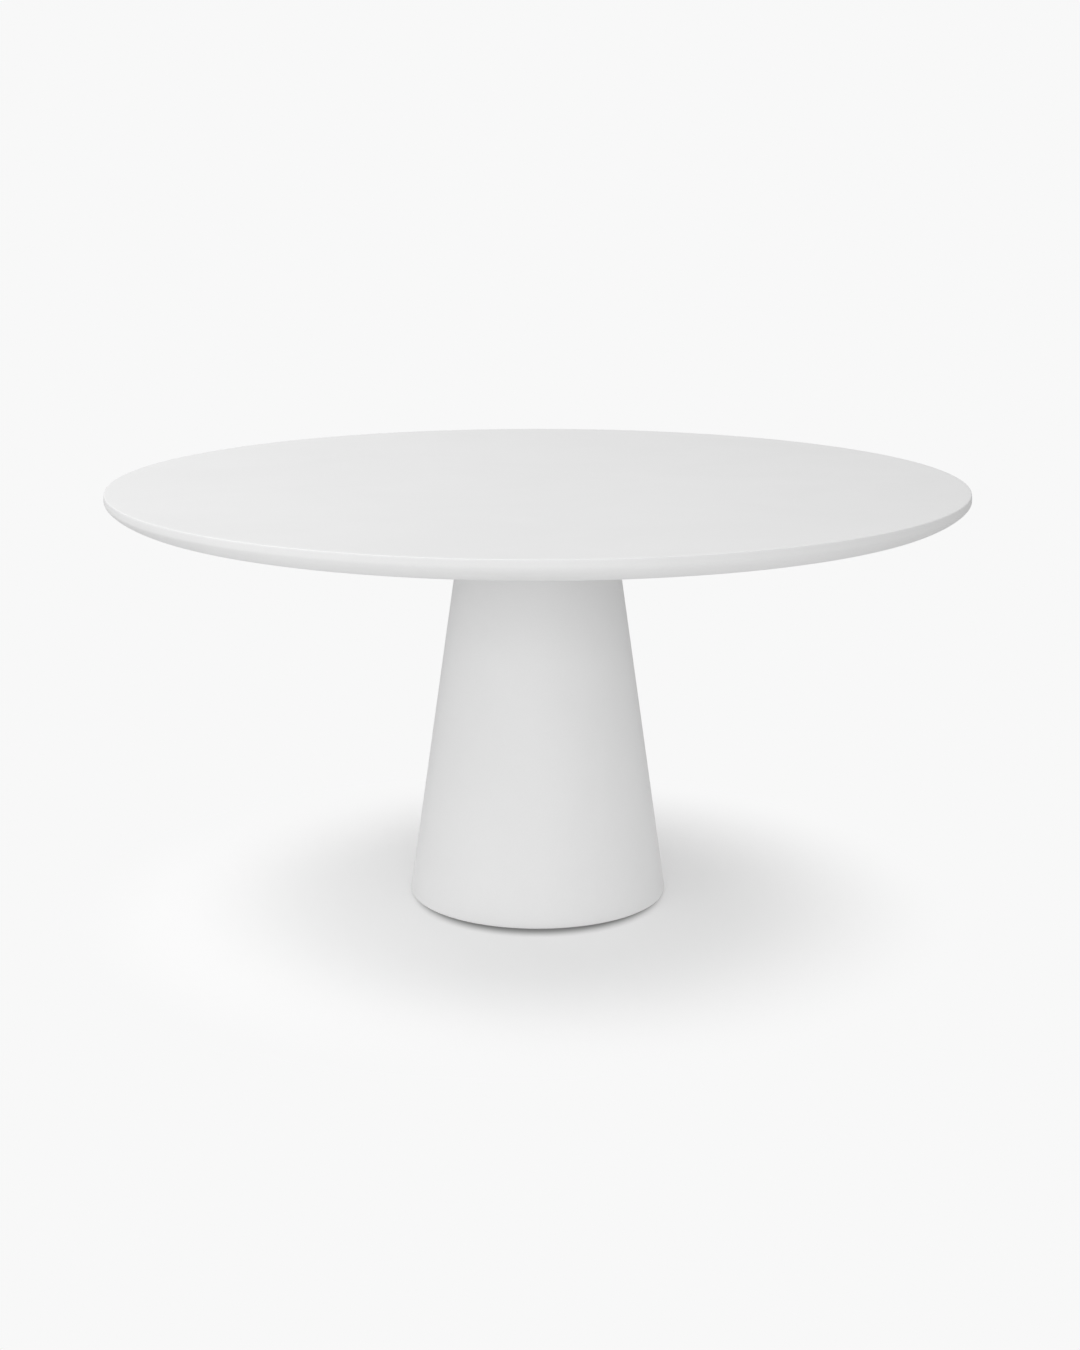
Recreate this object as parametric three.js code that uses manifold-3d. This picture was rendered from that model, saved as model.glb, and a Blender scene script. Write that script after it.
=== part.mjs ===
// A round dining table on a conical pedestal: a coated slab top, bolted through a steel plate to a hollow cone that
// holds its formers, a tie rod, ballast and six levelling feet.
// Millimetres, +Z up. The origin is on the floor under the centre of the table, and the front faces -Y.
import * as THREE from "three";
import { mergeVertices } from "three/addons/utils/BufferGeometryUtils.js";
import Module from "manifold-3d";

const wasm = await Module();
wasm.setup();

// ---------------------------------------------------------------- driving sizes

const HEIGHT = 750; // floor to the flat of the top
const TOP_DIAMETER = 1500;
const TOP_THICKNESS = 40;
const ARRIS_INSET = 3; // from the rim in to where the flat of the top begins
const ARRIS_RADIUS = 2.4; // the small rounding between the flat and the flank
const FLANK_LEAN = Math.PI / 30; // how far the flank leans in where it meets the arris
const RIM_DROP = 12; // from the flat down to where the rim is widest
const BELLY_WIDTH = 50; // how far the rim curves in before it meets the flat underside
const BELLY_FULLNESS = 0.395; // the belly curve's lower handle, as a share of its width
const BELLY_RISE = 0.32; // its upper handle, as a share of its depth

const CONE_FLOOR_DIAMETER = 465; // the pedestal's cone, carried down to the floor
const CONE_NECK_DIAMETER = 260; // the same cone where it meets the top
const CONE_WALL = 14; // measured level
const CONE_FLOOR_GAP = 3; // the shadow gap under the pedestal's rim
const CONE_RIM_ROUND = 6; // the rounding at the foot of the cone

const PLATE_DIAMETER = 420; // the steel plate let into the underside of the top
const PLATE_THICKNESS = 6;
const PLATE_RECESS_GAP = 1; // round the plate, in its recess
const BOSS_DIAMETER = 36; // the boss welded under the plate, tapped for the tie rod
const BOSS_LENGTH = 24;

const PLATE_BOLTS = 6;
const PLATE_BOLT_DIAMETER = 8;
const PLATE_BOLT_REACH = 22; // under the head
const BOLT_HEAD_DIAMETER = 16;
const BOLT_HEAD_HEIGHT = 4.4;
const BOLT_SOCKET = 5; // across the flats of the hexagon socket
const BOLT_SOCKET_DEPTH = 2.6;
const TOP_INSERT_DIAMETER = 12; // threaded sleeves in the top that take the plate bolts
const TOP_INSERT_LENGTH = 18;

const NECK_DISC_THICKNESS = 30; // plywood, glued in the neck
const NECK_SCREWS = 4;
const NECK_SCREW_DIAMETER = 6;
const NECK_SCREW_HEAD = 12; // countersunk into the plate
const NECK_SCREW_LENGTH = 28;
const MID_FORMER_THICKNESS = 18; // a plywood ring that holds the cone round at half height
const MID_FORMER_OPENING = 120;

const BASE_DISC_THICKNESS = 30; // plywood, glued in the foot of the cone
const ROD_DIAMETER = 12; // the tie rod that draws plate, cone and base disc together
const ROD_STUB = 1.5; // the rod's end past its nut
const ROD_NUT_FLATS = 18;
const ROD_NUT_HEIGHT = 10;
const ROD_WASHER_DIAMETER = 36;
const ROD_WASHER_THICKNESS = 3;

const BALLAST_PLATES = 3; // steel, stacked on the base disc
const BALLAST_THICKNESS = 10;
const BALLAST_EDGE_GAP = 18; // between the ballast and the cone's inside
const BALLAST_BOLTS = 3;
const BALLAST_BOLT_DIAMETER = 10;
const BALLAST_HEAD_DIAMETER = 22;
const BALLAST_HEAD_HEIGHT = 5;
const BALLAST_NUT_FLATS = 16;
const BALLAST_NUT_HEIGHT = 8;
const BALLAST_BOLT_STUB = 4; // the bolt's end past its nut

const FEET = 6;
const FOOT_EDGE_GAP = 10; // between a pad and the cone's inside
const PAD_DIAMETER = 34; // nylon
const PAD_THICKNESS = 4.5;
const PAD_EDGE = 1.5; // the bevel at the pad's foot
const PAD_SOCKET_DEPTH = 2.5;
const STUD_DIAMETER = 8;
const STUD_SPIGOT_DIAMETER = 10; // turns in the pad's socket
const STUD_COLLAR_FLATS = 14; // hexagon, turned with a spanner to level the table
const STUD_COLLAR_HEIGHT = 5.2;
const STUD_COVER = 6; // what is left of the base disc over the stud
const FOOT_INSERT_DIAMETER = 12;
const FOOT_INSERT_COVER = 8; // what is left of the base disc over the insert
const FOOT_FLANGE_DIAMETER = 24;
const FOOT_FLANGE_THICKNESS = 2;

// Clearances
const THREAD_GAP = 0.3; // round a screw in its thread or pilot bore
const HOLE_GAP = 0.5; // round a bolt in a plain hole
const GLUE_GAP = 0.3; // round a disc in the cone
const STOP_GAP = 0.3; // between a foot's collar and its insert, when it is screwed right in
const BORE_END_GAP = 1; // past the end of a screw in a blind bore
const BALLAST_ROD_GAP = 2;
const POCKET_GAP = 1.5; // round a washer or a bolt's head in its pocket
const EDGE_BREAK = 1; // the chamfer at the ends of rods, bolts and pads

// How many flats stand in for a round, and how many steps for a rounding in a profile
const LARGE_ROUND = 72;
const MEDIUM_ROUND = 36;
const SMALL_ROUND = 12;
const BELLY_STEPS = 7;
const FLANK_STEPS = 2;
const ARRIS_STEPS = 2;
const RIM_STEPS = 3;

// ---------------------------------------------------------------- sizes that follow

const undersideZ = HEIGHT - TOP_THICKNESS;
const plateTopZ = undersideZ + PLATE_THICKNESS;
const neckDiscZ = undersideZ - NECK_DISC_THICKNESS;
const footFlangeZ = PAD_THICKNESS + STUD_COLLAR_HEIGHT + STOP_GAP;
const baseDiscZ = footFlangeZ + FOOT_FLANGE_THICKNESS;
const baseDiscTopZ = baseDiscZ + BASE_DISC_THICKNESS;
const ballastTopZ = baseDiscTopZ + BALLAST_PLATES * BALLAST_THICKNESS;
const midFormerZ = (ballastTopZ + neckDiscZ - MID_FORMER_THICKNESS) / 2;

// The cone's outer and inner radius at a height.
const coneOuter = (z) =>
  (CONE_FLOOR_DIAMETER + ((CONE_NECK_DIAMETER - CONE_FLOOR_DIAMETER) * z) / undersideZ) / 2;
const coneInner = (z) => coneOuter(z) - CONE_WALL;

const plateBoltPitch = (coneOuter(undersideZ) + PLATE_DIAMETER / 2) / 2;
const bossHoleRadius = BOSS_DIAMETER / 2 + HOLE_GAP;
const neckScrewPitch = (bossHoleRadius + coneInner(undersideZ)) / 2;
const ballastRadius = coneInner(ballastTopZ) - BALLAST_EDGE_GAP;
const ballastBoltPitch = (2 * ballastRadius) / 3;
const footPitch = coneInner(baseDiscZ) - FOOT_EDGE_GAP - PAD_DIAMETER / 2;

// The bore under the base disc that hides the tie rod's washer, nut and end.
const rodPocketTopZ =
  baseDiscZ + ROD_STUB + ROD_NUT_HEIGHT + ROD_WASHER_THICKNESS + BORE_END_GAP;
const rodPocketRadius = ROD_WASHER_DIAMETER / 2 + POCKET_GAP;
const rodNutZ = rodPocketTopZ - ROD_WASHER_THICKNESS - ROD_NUT_HEIGHT;
const ballastPocketTopZ = baseDiscZ + BALLAST_HEAD_HEIGHT + BORE_END_GAP;

// ---------------------------------------------------------------- finishes

const finish = (color, roughness, metalness) =>
  new THREE.MeshStandardMaterial({ color, roughness, metalness });
const mineralCoat = finish("#e6e6e7", 0.78, 0);
const powderCoat = finish("#d6d6d4", 0.55, 0);
const plywood = finish("#c39b6b", 0.75, 0);
const zincSteel = finish("#b9bcc0", 0.35, 1);
const blackSteel = finish("#3a3c40", 0.55, 0.9);
const nylon = finish("#2b2b2d", 0.5, 0);

// ---------------------------------------------------------------- shapes

// A point of a profile: its distance from the axis, and its height.
const at = (radius, z) => new THREE.Vector2(radius, z);

// A turned piece. The profile runs upwards on its outer side, and starts and ends on the axis or closes on itself.
function turned(profile, flats) {
  return new THREE.LatheGeometry(profile, flats).rotateX(Math.PI / 2);
}

// A turned ring or tube between an inner and an outer profile, each given from the bottom up.
function turnedRing(inner, outer, flats) {
  const around = [...outer, ...[...inner].reverse()];
  return turned([...around, around[0].clone()], flats);
}

// A plain round tool for boring. Its flats, not its corners, lie on the radius asked for.
function bore(radius, fromZ, toZ, flats = SMALL_ROUND) {
  const r = radius / Math.cos(Math.PI / flats);
  return turned([at(0, fromZ), at(r, fromZ), at(r, toZ), at(0, toZ)], flats);
}

// A hexagon prism, with an optional round hole through it.
function hexagon(acrossFlats, fromZ, toZ, holeRadius = 0) {
  const corner = acrossFlats / Math.sqrt(3);
  const outline = new THREE.Shape(
    Array.from({ length: 6 }, (_, i) => {
      const turn = (i * Math.PI) / 3;
      return new THREE.Vector2(corner * Math.cos(turn), corner * Math.sin(turn));
    }),
  );
  if (holeRadius > 0) {
    outline.holes.push(new THREE.Path().absarc(0, 0, holeRadius, 0, 2 * Math.PI, true));
  }
  return new THREE.ExtrudeGeometry(outline, {
    depth: toZ - fromZ,
    bevelEnabled: false,
    curveSegments: SMALL_ROUND,
  }).translate(0, 0, fromZ);
}

// A geometry as a solid that can be cut and joined.
function solid(geometry) {
  const bare = geometry.clone();
  bare.deleteAttribute("normal");
  bare.deleteAttribute("uv");
  const merged = mergeVertices(bare, 1e-4);
  return new wasm.Manifold(
    new wasm.Mesh({
      numProp: 3,
      vertProperties: merged.getAttribute("position").array,
      triVerts: new Uint32Array(merged.index.array),
    }),
  );
}

// A solid as a geometry again.
function geometryOf(body) {
  const mesh = body.getMesh();
  const geometry = new THREE.BufferGeometry();
  geometry.setAttribute("position", new THREE.BufferAttribute(mesh.vertProperties, 3));
  geometry.setIndex(new THREE.BufferAttribute(mesh.triVerts, 1));
  geometry.computeVertexNormals();
  return geometry;
}

// A geometry with some others cut out of it.
function cut(geometry, tools) {
  const body = tools.reduce((rest, tool) => rest.subtract(solid(tool)), solid(geometry));
  return geometryOf(body);
}

// Two geometries as one piece.
function joined(first, second) {
  return geometryOf(solid(first).add(solid(second)));
}

// The places of a ring of pieces: their number from 1, their angle and their centre.
function ringOf(count, pitchRadius, firstAngle = 0) {
  return Array.from({ length: count }, (_, i) => {
    const angle = firstAngle + (i * 2 * Math.PI) / count;
    return {
      number: i + 1,
      angle,
      x: pitchRadius * Math.cos(angle),
      y: pitchRadius * Math.sin(angle),
    };
  });
}

const plateBoltPlaces = ringOf(PLATE_BOLTS, plateBoltPitch);
const neckScrewPlaces = ringOf(NECK_SCREWS, neckScrewPitch, Math.PI / 4);
const ballastBoltPlaces = ringOf(BALLAST_BOLTS, ballastBoltPitch, Math.PI / 2);
const footPlaces = ringOf(FEET, footPitch);

// One tool for each place of a ring.
const toolsAt = (places, makeTool) => places.map(({ x, y }) => makeTool().translate(x, y, 0));

// ---------------------------------------------------------------- pieces of the top

// The slab, with its crisp arris, its leaning flank, its belly, and the recess and bores that take the plate and its inserts.
function tabletop() {
  const radius = TOP_DIAMETER / 2;
  const recessRadius = PLATE_DIAMETER / 2 + PLATE_RECESS_GAP;
  const rimZ = HEIGHT - RIM_DROP;
  const belly = new THREE.CubicBezierCurve(
    at(radius - BELLY_WIDTH, undersideZ),
    at(radius - BELLY_WIDTH * (1 - BELLY_FULLNESS), undersideZ),
    at(radius, rimZ - (rimZ - undersideZ) * BELLY_RISE),
    at(radius, rimZ),
  );
  const arrisCentre = at(radius - ARRIS_INSET, HEIGHT - ARRIS_RADIUS);
  const arris = new THREE.EllipseCurve(
    arrisCentre.x,
    arrisCentre.y,
    ARRIS_RADIUS,
    ARRIS_RADIUS,
    FLANK_LEAN,
    Math.PI / 2,
  );
  const flankTop = arris.getPoint(0);
  const flank = new THREE.QuadraticBezierCurve(
    at(radius, rimZ),
    at(radius, flankTop.y - (radius - flankTop.x) / Math.tan(FLANK_LEAN)),
    flankTop,
  );
  const slab = turned(
    [
      at(0, plateTopZ),
      at(recessRadius, plateTopZ),
      at(recessRadius, undersideZ),
      ...belly.getPoints(BELLY_STEPS),
      ...flank.getPoints(FLANK_STEPS).slice(1),
      ...arris.getPoints(ARRIS_STEPS).slice(1),
      at(0, HEIGHT),
    ],
    LARGE_ROUND,
  );
  const boreRadius = TOP_INSERT_DIAMETER / 2 + THREAD_GAP;
  const boreTopZ = plateTopZ + TOP_INSERT_LENGTH + BORE_END_GAP;
  return cut(
    slab,
    toolsAt(plateBoltPlaces, () => bore(boreRadius, plateTopZ - BORE_END_GAP, boreTopZ)),
  );
}

// A threaded sleeve in the top, above the plate.
function topInsert() {
  const inner = PLATE_BOLT_DIAMETER / 2 + THREAD_GAP;
  const outer = TOP_INSERT_DIAMETER / 2;
  const endZ = plateTopZ + TOP_INSERT_LENGTH;
  return turnedRing(
    [at(inner, plateTopZ), at(inner, endZ)],
    [at(outer, plateTopZ), at(outer, endZ)],
    SMALL_ROUND,
  );
}

// The steel plate with its welded boss.
function mountingPlate() {
  const radius = PLATE_DIAMETER / 2;
  const rodRadius = ROD_DIAMETER / 2 + THREAD_GAP;
  const bossRadius = BOSS_DIAMETER / 2;
  const plate = turnedRing(
    [at(rodRadius, undersideZ - BOSS_LENGTH), at(rodRadius, plateTopZ)],
    [
      at(bossRadius, undersideZ - BOSS_LENGTH),
      at(bossRadius, undersideZ),
      at(radius, undersideZ),
      at(radius, plateTopZ),
    ],
    MEDIUM_ROUND,
  );
  const boltRadius = PLATE_BOLT_DIAMETER / 2 + HOLE_GAP;
  const boltHoles = toolsAt(plateBoltPlaces, () =>
    bore(boltRadius, undersideZ - BORE_END_GAP, plateTopZ + BORE_END_GAP),
  );
  const screwHoles = toolsAt(neckScrewPlaces, () => {
    const shank = NECK_SCREW_DIAMETER / 2 + HOLE_GAP;
    const head = NECK_SCREW_HEAD / 2 + HOLE_GAP;
    return turned(
      [
        at(0, undersideZ - BORE_END_GAP),
        at(shank, undersideZ - BORE_END_GAP),
        at(shank, plateTopZ - (head - shank)),
        at(head, plateTopZ),
        at(head, plateTopZ + BORE_END_GAP),
        at(0, plateTopZ + BORE_END_GAP),
      ],
      SMALL_ROUND,
    );
  });
  return cut(plate, [...boltHoles, ...screwHoles]);
}

// A button-head bolt from below, through the plate and into its insert.
function plateBolt() {
  const shank = PLATE_BOLT_DIAMETER / 2;
  const head = BOLT_HEAD_DIAMETER / 2;
  const headZ = undersideZ - BOLT_HEAD_HEIGHT;
  const endZ = undersideZ + PLATE_BOLT_REACH;
  const body = turned(
    [
      at(0, headZ),
      at(head * 0.55, headZ),
      at(head * 0.9, headZ + BOLT_HEAD_HEIGHT * 0.45),
      at(head, undersideZ - BOLT_HEAD_HEIGHT * 0.15),
      at(head, undersideZ),
      at(shank, undersideZ),
      at(shank, endZ - EDGE_BREAK),
      at(shank - EDGE_BREAK, endZ),
      at(0, endZ),
    ],
    SMALL_ROUND,
  );
  return cut(body, [hexagon(BOLT_SOCKET, headZ - BORE_END_GAP, headZ + BOLT_SOCKET_DEPTH)]);
}

// ---------------------------------------------------------------- pieces of the pedestal

// The hollow cone, open at its neck and foot, with a rounded rim.
function pedestalShell() {
  const rimZ = CONE_FLOOR_GAP;
  const sideZ = rimZ + CONE_RIM_ROUND;
  const rim = new THREE.QuadraticBezierCurve(
    at(coneOuter(rimZ) - CONE_RIM_ROUND, rimZ),
    at(coneOuter(rimZ), rimZ),
    at(coneOuter(sideZ), sideZ),
  );
  return turnedRing(
    [at(coneInner(rimZ), rimZ), at(coneInner(undersideZ), undersideZ)],
    [...rim.getPoints(RIM_STEPS), at(coneOuter(undersideZ), undersideZ)],
    LARGE_ROUND,
  );
}

// A plywood disc that fits the inside of the cone between two heights, with a round hole in its middle.
function coneDisc(fromZ, toZ, holeRadius) {
  return turnedRing(
    [at(holeRadius, fromZ), at(holeRadius, toZ)],
    [at(coneInner(fromZ) - GLUE_GAP, fromZ), at(coneInner(toZ) - GLUE_GAP, toZ)],
    MEDIUM_ROUND,
  );
}

// The disc in the neck, bored for the screws that hold the plate.
function neckDisc() {
  const pilotRadius = NECK_SCREW_DIAMETER / 2 + THREAD_GAP;
  const pilotZ = plateTopZ - NECK_SCREW_LENGTH - BORE_END_GAP;
  return cut(
    coneDisc(neckDiscZ, undersideZ, bossHoleRadius),
    toolsAt(neckScrewPlaces, () => bore(pilotRadius, pilotZ, undersideZ + BORE_END_GAP)),
  );
}

// A countersunk screw through the plate into the neck disc.
function neckScrew() {
  const shank = NECK_SCREW_DIAMETER / 2;
  const head = NECK_SCREW_HEAD / 2;
  const tipZ = plateTopZ - NECK_SCREW_LENGTH;
  return turned(
    [
      at(0, tipZ),
      at(shank, tipZ + NECK_SCREW_DIAMETER),
      at(shank, plateTopZ - (head - shank)),
      at(head, plateTopZ),
      at(0, plateTopZ),
    ],
    SMALL_ROUND,
  );
}

// The disc in the foot of the cone, bored for the tie rod, the ballast bolts and the feet.
function baseDisc() {
  const blank = coneDisc(baseDiscZ, baseDiscTopZ, ROD_DIAMETER / 2 + HOLE_GAP);
  const belowZ = baseDiscZ - BORE_END_GAP;
  const rodPocket = bore(rodPocketRadius, belowZ, rodPocketTopZ, MEDIUM_ROUND);
  const boltHoles = toolsAt(ballastBoltPlaces, () =>
    bore(BALLAST_BOLT_DIAMETER / 2 + HOLE_GAP, belowZ, baseDiscTopZ + BORE_END_GAP),
  );
  const boltPockets = toolsAt(ballastBoltPlaces, () =>
    bore(BALLAST_HEAD_DIAMETER / 2 + POCKET_GAP, belowZ, ballastPocketTopZ),
  );
  const insertBores = toolsAt(footPlaces, () =>
    bore(FOOT_INSERT_DIAMETER / 2 + THREAD_GAP, belowZ, baseDiscTopZ - FOOT_INSERT_COVER),
  );
  const studBores = toolsAt(footPlaces, () =>
    bore(STUD_DIAMETER / 2 + HOLE_GAP, belowZ, baseDiscTopZ - STUD_COVER + BORE_END_GAP),
  );
  return cut(blank, [rodPocket, ...boltHoles, ...boltPockets, ...insertBores, ...studBores]);
}

// The rod from the plate's boss down to the pocket under the base disc.
function tieRod() {
  const radius = ROD_DIAMETER / 2;
  const fromZ = rodNutZ - ROD_STUB;
  const toZ = plateTopZ - ROD_STUB;
  return turned(
    [
      at(0, fromZ),
      at(radius - EDGE_BREAK, fromZ),
      at(radius, fromZ + EDGE_BREAK),
      at(radius, toZ - EDGE_BREAK),
      at(radius - EDGE_BREAK, toZ),
      at(0, toZ),
    ],
    SMALL_ROUND,
  );
}

function tieRodWasher() {
  const fromZ = rodPocketTopZ - ROD_WASHER_THICKNESS;
  const inner = ROD_DIAMETER / 2 + HOLE_GAP;
  const outer = ROD_WASHER_DIAMETER / 2;
  return turnedRing(
    [at(inner, fromZ), at(inner, rodPocketTopZ)],
    [at(outer, fromZ), at(outer, rodPocketTopZ)],
    MEDIUM_ROUND,
  );
}

const tieRodNut = () =>
  hexagon(ROD_NUT_FLATS, rodNutZ, rodNutZ + ROD_NUT_HEIGHT, ROD_DIAMETER / 2 + THREAD_GAP);

// One ballast plate of the stack, counted up from the base disc.
function ballastPlate(number) {
  const fromZ = baseDiscTopZ + (number - 1) * BALLAST_THICKNESS;
  const toZ = fromZ + BALLAST_THICKNESS;
  const holeRadius = ROD_DIAMETER / 2 + BALLAST_ROD_GAP;
  const blank = turnedRing(
    [at(holeRadius, fromZ), at(holeRadius, toZ)],
    [at(ballastRadius, fromZ), at(ballastRadius, toZ)],
    MEDIUM_ROUND,
  );
  return cut(
    blank,
    toolsAt(ballastBoltPlaces, () =>
      bore(BALLAST_BOLT_DIAMETER / 2 + HOLE_GAP, fromZ - BORE_END_GAP, toZ + BORE_END_GAP),
    ),
  );
}

// A dome-headed bolt from the pocket under the base disc up through the ballast.
function ballastBolt() {
  const shank = BALLAST_BOLT_DIAMETER / 2;
  const head = BALLAST_HEAD_DIAMETER / 2;
  const headZ = ballastPocketTopZ - BALLAST_HEAD_HEIGHT;
  const endZ = ballastTopZ + BALLAST_NUT_HEIGHT + BALLAST_BOLT_STUB;
  return turned(
    [
      at(0, headZ),
      at(head * 0.6, headZ + BALLAST_HEAD_HEIGHT * 0.2),
      at(head, headZ + BALLAST_HEAD_HEIGHT * 0.75),
      at(head, ballastPocketTopZ),
      at(shank, ballastPocketTopZ),
      at(shank, endZ - EDGE_BREAK),
      at(shank - EDGE_BREAK, endZ),
      at(0, endZ),
    ],
    SMALL_ROUND,
  );
}

const ballastNut = () =>
  hexagon(
    BALLAST_NUT_FLATS,
    ballastTopZ,
    ballastTopZ + BALLAST_NUT_HEIGHT,
    BALLAST_BOLT_DIAMETER / 2 + THREAD_GAP,
  );

// ---------------------------------------------------------------- pieces of a foot

// The flanged threaded sleeve in the base disc.
function footInsert() {
  const inner = STUD_DIAMETER / 2 + THREAD_GAP;
  const outer = FOOT_INSERT_DIAMETER / 2;
  const flange = FOOT_FLANGE_DIAMETER / 2;
  const endZ = baseDiscTopZ - FOOT_INSERT_COVER;
  return turnedRing(
    [at(inner, footFlangeZ), at(inner, endZ)],
    [at(flange, footFlangeZ), at(flange, baseDiscZ), at(outer, baseDiscZ), at(outer, endZ)],
    SMALL_ROUND,
  );
}

// The threaded stud, with a spigot below that turns in the pad, and a hexagon collar.
function footStud() {
  const shank = STUD_DIAMETER / 2;
  const spigot = STUD_SPIGOT_DIAMETER / 2;
  const spigotZ = PAD_THICKNESS - PAD_SOCKET_DEPTH;
  const collarTopZ = PAD_THICKNESS + STUD_COLLAR_HEIGHT;
  const endZ = baseDiscTopZ - STUD_COVER;
  const core = turned(
    [
      at(0, spigotZ),
      at(spigot, spigotZ),
      at(spigot, PAD_THICKNESS + STUD_COLLAR_HEIGHT / 2),
      at(shank, PAD_THICKNESS + STUD_COLLAR_HEIGHT / 2),
      at(shank, endZ - EDGE_BREAK),
      at(shank - EDGE_BREAK, endZ),
      at(0, endZ),
    ],
    SMALL_ROUND,
  );
  return joined(core, hexagon(STUD_COLLAR_FLATS, PAD_THICKNESS, collarTopZ));
}

// The pad that stands on the floor, with the socket that the stud turns in.
function footPad() {
  const radius = PAD_DIAMETER / 2;
  const socket = STUD_SPIGOT_DIAMETER / 2 + THREAD_GAP;
  const socketZ = PAD_THICKNESS - PAD_SOCKET_DEPTH;
  return turned(
    [
      at(0, 0),
      at(radius - PAD_EDGE, 0),
      at(radius, PAD_EDGE),
      at(radius, PAD_THICKNESS - EDGE_BREAK),
      at(radius - EDGE_BREAK, PAD_THICKNESS),
      at(socket, PAD_THICKNESS),
      at(socket, socketZ),
      at(0, socketZ),
    ],
    SMALL_ROUND,
  );
}

// ---------------------------------------------------------------- the assembly

// Adds a named piece to a group.
function addPiece(group, name, geometry, material) {
  const piece = new THREE.Mesh(geometry, material);
  piece.name = name;
  group.add(piece);
}

// Adds one copy of a piece at each place of a ring, each turned to face outwards.
function addRing(group, name, places, geometry, material) {
  for (const { number, angle, x, y } of places) {
    const spot = new THREE.Group();
    spot.position.set(x, y, 0);
    spot.rotation.z = angle;
    addPiece(spot, `${name}_${number}`, geometry.clone(), material);
    group.add(spot);
  }
}

const top = new THREE.Group();
addPiece(top, "tabletop", tabletop(), mineralCoat);
addRing(top, "top_insert", plateBoltPlaces, topInsert(), zincSteel);
addPiece(top, "mounting_plate", mountingPlate(), powderCoat);
addRing(top, "plate_bolt", plateBoltPlaces, plateBolt(), zincSteel);

const pedestal = new THREE.Group();
addPiece(pedestal, "pedestal_shell", pedestalShell(), mineralCoat);
addPiece(pedestal, "neck_disc", neckDisc(), plywood);
addRing(pedestal, "neck_screw", neckScrewPlaces, neckScrew(), zincSteel);
const midFormer = coneDisc(midFormerZ, midFormerZ + MID_FORMER_THICKNESS, MID_FORMER_OPENING / 2);
addPiece(pedestal, "mid_former", midFormer, plywood);
addPiece(pedestal, "base_disc", baseDisc(), plywood);
addPiece(pedestal, "tie_rod", tieRod(), zincSteel);
addPiece(pedestal, "tie_rod_washer", tieRodWasher(), zincSteel);
addPiece(pedestal, "tie_rod_nut", tieRodNut(), zincSteel);

const ballast = new THREE.Group();
for (let number = 1; number <= BALLAST_PLATES; number++) {
  addPiece(ballast, `ballast_plate_${number}`, ballastPlate(number), blackSteel);
}
addRing(ballast, "ballast_bolt", ballastBoltPlaces, ballastBolt(), zincSteel);
addRing(ballast, "ballast_nut", ballastBoltPlaces, ballastNut(), zincSteel);

const feet = new THREE.Group();
addRing(feet, "glide_insert", footPlaces, footInsert(), zincSteel);
addRing(feet, "glide_stud", footPlaces, footStud(), zincSteel);
addRing(feet, "glide_pad", footPlaces, footPad(), nylon);

const table = new THREE.Group();
table.add(top, pedestal, ballast, feet);

export default table;
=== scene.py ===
"""A round dining table in matt mineral coat on a conical pedestal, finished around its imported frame."""

from __future__ import annotations

import logging
import math
from contextlib import contextmanager
from dataclasses import dataclass
from enum import Enum
from itertools import pairwise
from typing import Any, Iterator, Sequence

import bpy
from bpy.types import Material, Node, NodeSocket, NodeTree, Object
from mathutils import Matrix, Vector

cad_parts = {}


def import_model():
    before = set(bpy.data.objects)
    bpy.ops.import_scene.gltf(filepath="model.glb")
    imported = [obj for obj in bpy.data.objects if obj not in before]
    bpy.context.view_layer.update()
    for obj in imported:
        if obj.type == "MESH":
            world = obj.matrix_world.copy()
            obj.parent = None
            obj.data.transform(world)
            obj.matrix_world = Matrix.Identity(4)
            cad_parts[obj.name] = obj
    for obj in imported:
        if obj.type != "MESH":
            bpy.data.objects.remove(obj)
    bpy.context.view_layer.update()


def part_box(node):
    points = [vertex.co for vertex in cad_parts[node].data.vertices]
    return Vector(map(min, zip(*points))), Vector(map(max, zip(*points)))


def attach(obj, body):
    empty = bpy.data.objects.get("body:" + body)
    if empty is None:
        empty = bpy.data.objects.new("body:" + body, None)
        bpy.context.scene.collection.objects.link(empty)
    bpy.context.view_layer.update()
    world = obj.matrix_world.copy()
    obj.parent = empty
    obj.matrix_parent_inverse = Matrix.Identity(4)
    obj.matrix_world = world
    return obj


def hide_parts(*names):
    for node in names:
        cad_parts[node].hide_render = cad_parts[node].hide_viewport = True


LOG = logging.getLogger("pedestal_table")

Point = tuple[float, float]  # a point of a profile: its distance from the axis, and its height
Place = tuple[float, float, float]
Colour = tuple[float, float, float]


def mm(length: float) -> float:
    """A length in millimetres, in metres."""
    return length / 1000


WELD = mm(0.002)  # points nearer than this are one
OVERCUT = mm(1)  # how far a cutter stands past what it cuts
TABLE = "table"  # the body that everything but the feet belongs to


# ---------------------------------------------------------------- places


@dataclass(frozen=True)
class Spot:
    """A place in a ring of like pieces.

    Attributes:
        number: Its number, from 1.
        x: Metres along X.
        y: Metres along Y.
        angle: The turn about Z that faces it outwards, in radians.
    """

    number: int
    x: float
    y: float
    angle: float


def ring_of(count: int, pitch_radius: float, first_angle: float = 0.0) -> list[Spot]:
    """The places of a ring of like pieces.

    Args:
        count: How many there are.
        pitch_radius: Their distance from the axis.
        first_angle: The angle of the first, in radians.

    Returns:
        One spot for each, numbered from 1.
    """
    spots = []
    for i in range(count):
        angle = first_angle + i * math.tau / count
        spots.append(Spot(i + 1, pitch_radius * math.cos(angle), pitch_radius * math.sin(angle), angle))
    return spots


def ring_of_nodes(node: str, count: int, first_angle: float = 0.0) -> list[Spot]:
    """The places of a ring of like nodes of the frame, whose first one gives its radius."""
    low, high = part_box(f"{node}_1")
    return ring_of(count, math.hypot((low.x + high.x) / 2, (low.y + high.y) / 2), first_angle)


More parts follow.
